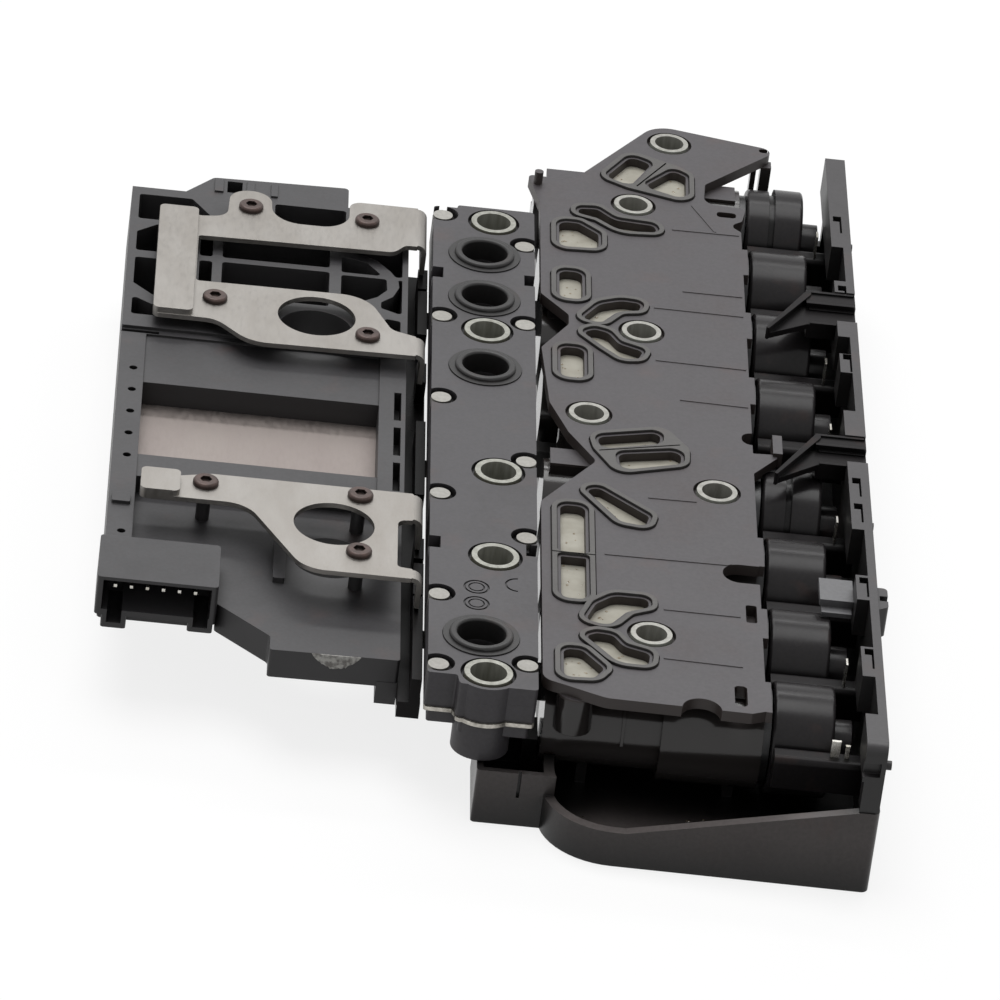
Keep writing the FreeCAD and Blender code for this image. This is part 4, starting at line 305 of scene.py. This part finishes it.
# Steel and aluminium pieces
# Turned, rolled or pressed metal: each has the streaks or mottling that its making leaves.
def metal(name, colour, worn_colour, rough, patch=6.0 * MM, streak=(1.0, 1.0, 1.0), depth=0.004 * MM,
          metallic=1.0, painted_recess_colour=None):
    """Bare or plated metal with mottled colour and roughness; streak stretches the pattern per axis.

    deep is the colour painted into its hollows: painted shade, and painted light in the plate bushings' bores."""
    material, tree = new_material(name)
    place = add(tree, "ShaderNodeTexCoord").outputs["Object"]
    drawn = add(tree, "ShaderNodeMapping", {"Vector": place, "Scale": streak})
    cloud = noise(tree, drawn.outputs[0], patch, 4.0, 0.6)
    spread = add(tree, "ShaderNodeMapRange", {0: cloud.outputs[0], 1: 0.35, 2: 0.7, 3: 0.0, 4: 1.0})
    base = add(tree, "ShaderNodeMix", {0: spread.outputs[0], 6: srgb(colour), 7: srgb(worn_colour)},
               data_type="RGBA")
    # Painted colour in the hollows, placed by ambient occlusion: painted shade, and painted light in the plate
    # bushings' bores.
    base = painted_recess_shade(tree, base.outputs[2], painted_recess_colour) if painted_recess_colour else base.outputs[2]
    fine = noise(tree, drawn.outputs[0], patch / 14, 3.0)
    varied = add(tree, "ShaderNodeMapRange",
                 {0: fine.outputs[0], 1: 0.3, 2: 0.7, 3: rough - 0.05, 4: rough + 0.08})
    bump = add(tree, "ShaderNodeBump", {"Strength": 0.5, "Distance": depth, "Height": fine.outputs[0],
                                        "Normal": rounded_edges(tree, 0.1 * MM)})
    shader = add(tree, "ShaderNodeBsdfPrincipled", {"Base Color": base, "Metallic": metallic,
                                                    "Roughness": varied.outputs[0], "Normal": bump.outputs[0]})
    add(tree, "ShaderNodeOutputMaterial", {"Surface": shader.outputs[0]})
    return material


satin_stainless = metal("satin_stainless_sheet", "#8e8b87", "#827e79", 0.42, 9 * MM, (1, 0.35, 1))
dress(satin_stainless, "upper_bracket", "lower_bracket")
# The plate bushings' bores are painted lighter than the rims, as painted light on their walls; the strip bushings'
# bores are painted a darker olive, as painted shade.
turned_steel = metal("turned_plated_steel", "#a9a8a2", "#8a8982", 0.34, 1.2 * MM, (1, 1, 0.12), 0.001 * MM, 0.3,
                     "#ccd0c4")
dress(turned_steel, "plate_bushings")
dark_steel = metal("oiled_turned_steel_painted_bore_shade", "#a3a39b", "#828279", 0.34, 1.2 * MM, (1, 1, 0.12), 0.001 * MM, 0.35,
                   "#8f8d7c")
dress(dark_steel, "strip_bushings")
# Painted shade darkens the screws' recesses.
brown_coating = metal("brown_coated_steel", "#4d3c37", "#362a26", 0.42, 2 * MM, metallic=0.4, painted_recess_colour="#120e0c")
dress(brown_coating, "bracket_screws")

# The cans' black oxide is as dull as a moulding and no metal shows through it; painted shade darkens them where
# they meet other parts.
can_coating = moulded("dark_coated_steel", "#252324", "#1e1c1d", 0.24, 0.5, 0.001 * MM, shine=0.16,
                      painted_recess_colour="#080808", hollow=(0.25, 0.9))
dress(can_coating, *["solenoid_can_%d" % k for k in range(1, 9)])
spool_steel = metal("ground_steel", "#9a9a98", "#7d7d7b", 0.3, 4 * MM, (0.3, 1, 1))
dress(spool_steel, *["solenoid_spool_%d" % k for k in range(1, 9)])
spring_steel = metal("drawn_spring_wire", "#8d8d8c", "#6f6f6e", 0.35, 2 * MM)
dress(spring_steel, *["solenoid_spring_%d" % k for k in range(1, 9)])
plunger_steel = metal("dark_plunger_steel", "#2e2d2c", "#222120", 0.45, 3 * MM, metallic=0.6)
dress(plunger_steel, *["switch_plunger_%d" % k for k in range(1, 5)])
sleeve_coating = metal("hard_anodised_aluminium", "#2a2a2b", "#202021", 0.32, 3 * MM, (0.3, 1, 1), metallic=0.4)
dress(sleeve_coating, "valve_sleeves")
heat_aluminium = metal("rolled_aluminium", "#857e7a", "#7f7774", 0.5, 14 * MM, (1, 0.3, 1), 0.001 * MM)
dress(heat_aluminium, "controller_heat_plate", "controller_cover_plate")
gasket_aluminium = metal("pressed_gasket_edge", "#c2beb6", "#6c6963", 0.38, 2.4 * MM, (1, 1, 1), 0.08 * MM)
dress(gasket_aluminium, "strip_gasket")
tinned_brass = metal("tinned_brass", "#d2d0ca", "#b5b1a6", 0.25, 2 * MM)
dress(tinned_brass, "connector_pins", "coil_terminals")
copper = metal("enamelled_copper_wire", "#b0623a", "#8d4826", 0.35, 0.8 * MM, (0.1, 1, 1))
dress(copper, "solenoid_coils")

# Filter screens
# Fine woven stainless mesh, welded behind each window. The weave is drawn at 0.3 mm, coarser than
# it is, so that it shows.
MESH_PITCH = 0.3 * MM
screen_material, tree = new_material("woven_stainless_mesh")
place = add(tree, "ShaderNodeTexCoord").outputs["Object"]
weave = add(tree, "ShaderNodeTexWave", {"Vector": place, "Scale": 0.05 / MESH_PITCH, "Distortion": 0.0},
            bands_direction="X")
cross = add(tree, "ShaderNodeTexWave", {"Vector": place, "Scale": 0.05 / MESH_PITCH, "Distortion": 0.0},
            bands_direction="Y")
both = add(tree, "ShaderNodeMath", {0: weave.outputs[1], 1: cross.outputs[1]}, operation="MULTIPLY")
cloud = noise(tree, place, 5 * MM)
dim = add(tree, "ShaderNodeMapRange", {0: cloud.outputs[0], 1: 0.3, 2: 0.75, 3: 0.0, 4: 1.0})
base = add(tree, "ShaderNodeMix", {0: dim.outputs[0], 6: srgb("#a29f94"), 7: srgb("#898579")}, data_type="RGBA")
bump = add(tree, "ShaderNodeBump", {"Strength": 0.4, "Distance": 0.05 * MM, "Height": both.outputs[0]})
shader = add(tree, "ShaderNodeBsdfPrincipled", {"Base Color": base.outputs[2], "Metallic": 0.25, "Roughness": 0.55,
                                                "Normal": bump.outputs[0]})
add(tree, "ShaderNodeOutputMaterial", {"Surface": shader.outputs[0]})
dress(screen_material, "filter_screens")

# Circuit board
# Green epoxy laminate with black resin packages, shut in under the heat plate.
board_laminate = moulded("green_epoxy_laminate", "#2f6a3c", "#285a34", 0.35)
dress(board_laminate, "circuit_board")
package_resin = moulded("black_package_resin", "#2b2b2b", "#242424", 0.5)
dress(package_resin, "board_components")

# Oil droplets
# Splashes of transmission oil, 0.2 to 0.8 mm wide, that cling to the screens and lie in the tub's
# front trough. Each is a squashed bead with its own height and lean.
random.seed(11)


def spots_on(node, count, keep):
    """Random points on a node's upward faces that pass a test, as many per area everywhere."""
    mesh = nodes[node].data
    mesh.calc_loop_triangles()
    faces = [t for t in mesh.loop_triangles if t.normal.z > 0.9 and keep(t.center)]
    chosen = random.choices(faces, weights=[t.area for t in faces], k=count)
    points = []
    for face in chosen:
        a, b, c = (mesh.vertices[i].co for i in face.vertices)
        u, v = sorted((random.random(), random.random()))
        point = a * u + b * (v - u) + c * (1 - v)
        if keep(point):
            points.append(point)
    return points


def droplets(name, points, small, large):
    """Squashed beads of oil at the points."""
    shape = bmesh.new()
    for point in points:
        size = random.uniform(small, large)
        made = bmesh.ops.create_icosphere(shape, subdivisions=2, radius=size)
        squash = random.uniform(0.35, 0.6)
        stretch = random.uniform(0.8, 1.4)
        for vertex in made["verts"]:
            swell = 1.0 + 0.12 * math.sin(5 * vertex.co.x / size + stretch)
            scale = Vector((stretch, swell, squash * swell))
            vertex.co = point + vertex.co * scale
    mesh = bpy.data.meshes.new(name)
    shape.to_mesh(mesh)
    shape.free()
    mesh.shade_smooth()
    piece = new_object(name, mesh)
    mesh.materials.append(oil)
    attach(piece, "root")


oil, tree = new_material("transmission_oil")
place = add(tree, "ShaderNodeTexCoord").outputs["Object"]
cloud = noise(tree, place, 1.5 * MM)
tint = add(tree, "ShaderNodeMix", {0: cloud.outputs[0], 6: srgb("#e6d2b8"), 7: srgb("#d2bfa6")}, data_type="RGBA")
shader = add(tree, "ShaderNodeBsdfPrincipled", {"Base Color": tint.outputs[2], "Roughness": 0.03, "IOR": 1.47,
                                                "Transmission Weight": 0.9})
add(tree, "ShaderNodeOutputMaterial", {"Surface": shader.outputs[0]})
TUB_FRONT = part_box("base_housing")[0][1]
on_screens = spots_on("filter_screens", 110, lambda p: True)
droplets("oil_on_screens", on_screens, 0.10 * MM, 0.28 * MM)
in_trough = spots_on("base_housing", 70, lambda p: p.z < 4 * MM and p.y < TUB_FRONT + 16 * MM)
droplets("oil_in_tub", in_trough, 0.15 * MM, 0.45 * MM)

# Chipped scar on the controller's front edge
# The moulding's front edge has been chipped and shows a pale crescent, about 9 by 3 mm, with a
# rough broken face.
SCAR_X = (-33.8 * MM, -24.5 * MM)
SCAR_TOP = 21.46 * MM
SCAR_DROP = 2.9 * MM
SCAR_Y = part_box("controller_housing")[0][1] + 0.18 * MM
SCAR_SLOPE = 0.02           # the front edge runs back a little to the right
SCAR_COLUMNS = 28
SCAR_ROWS = 6
scar = bmesh.new()
rows = []
for i in range(SCAR_COLUMNS + 1):
    along = i / SCAR_COLUMNS
    x = SCAR_X[0] + (SCAR_X[1] - SCAR_X[0]) * along
    drop = SCAR_DROP * math.sin(math.pi * along) ** 0.8 * random.uniform(0.9, 1.06) + 0.12 * MM
    front = SCAR_Y + SCAR_SLOPE * (x - SCAR_X[0])
    row = []
    for j in range(SCAR_ROWS + 1):
        down_share = j / SCAR_ROWS
        proud = 0.10 * MM * math.sin(math.pi * along) * (1 - 0.8 * down_share) + random.uniform(0, 0.05) * MM
        row.append(scar.verts.new((x, front - 0.06 * MM - proud, SCAR_TOP - drop * down_share)))
    rows.append(row)
for first, second in zip(rows, rows[1:]):
    for j in range(SCAR_ROWS):
        scar.faces.new((first[j], second[j], second[j + 1], first[j + 1]))
bmesh.ops.recalc_face_normals(scar, faces=scar.faces)
backed = bmesh.ops.extrude_face_region(scar, geom=list(scar.faces))
for vertex in [v for v in backed["geom"] if isinstance(v, bmesh.types.BMVert)]:
    vertex.co.y = SCAR_Y + SCAR_SLOPE * (vertex.co.x - SCAR_X[0]) + 0.3 * MM
bmesh.ops.recalc_face_normals(scar, faces=scar.faces)
scar_mesh = bpy.data.meshes.new("chipped_edge")
scar.to_mesh(scar_mesh)
scar.free()
scar_piece = new_object("chipped_edge", scar_mesh)
chipped, tree = new_material("broken_nylon")
place = add(tree, "ShaderNodeTexCoord").outputs["Object"]
cloud = noise(tree, place, 0.9 * MM, 4.0)
tone = add(tree, "ShaderNodeMapRange", {0: cloud.outputs[0], 1: 0.4, 2: 0.6, 3: 0.0, 4: 1.0})
tint = add(tree, "ShaderNodeMix", {0: tone.outputs[0], 6: srgb("#d9d7d2"), 7: srgb("#8d8a86")}, data_type="RGBA")
bump = add(tree, "ShaderNodeBump", {"Strength": 0.8, "Distance": 0.08 * MM, "Height": cloud.outputs[0]})
shader = add(tree, "ShaderNodeBsdfPrincipled", {"Base Color": tint.outputs[2], "Roughness": 0.7,
                                                "Normal": bump.outputs[0]})
add(tree, "ShaderNodeOutputMaterial", {"Surface": shader.outputs[0]})
scar_mesh.materials.append(chipped)
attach(scar_piece, "root")
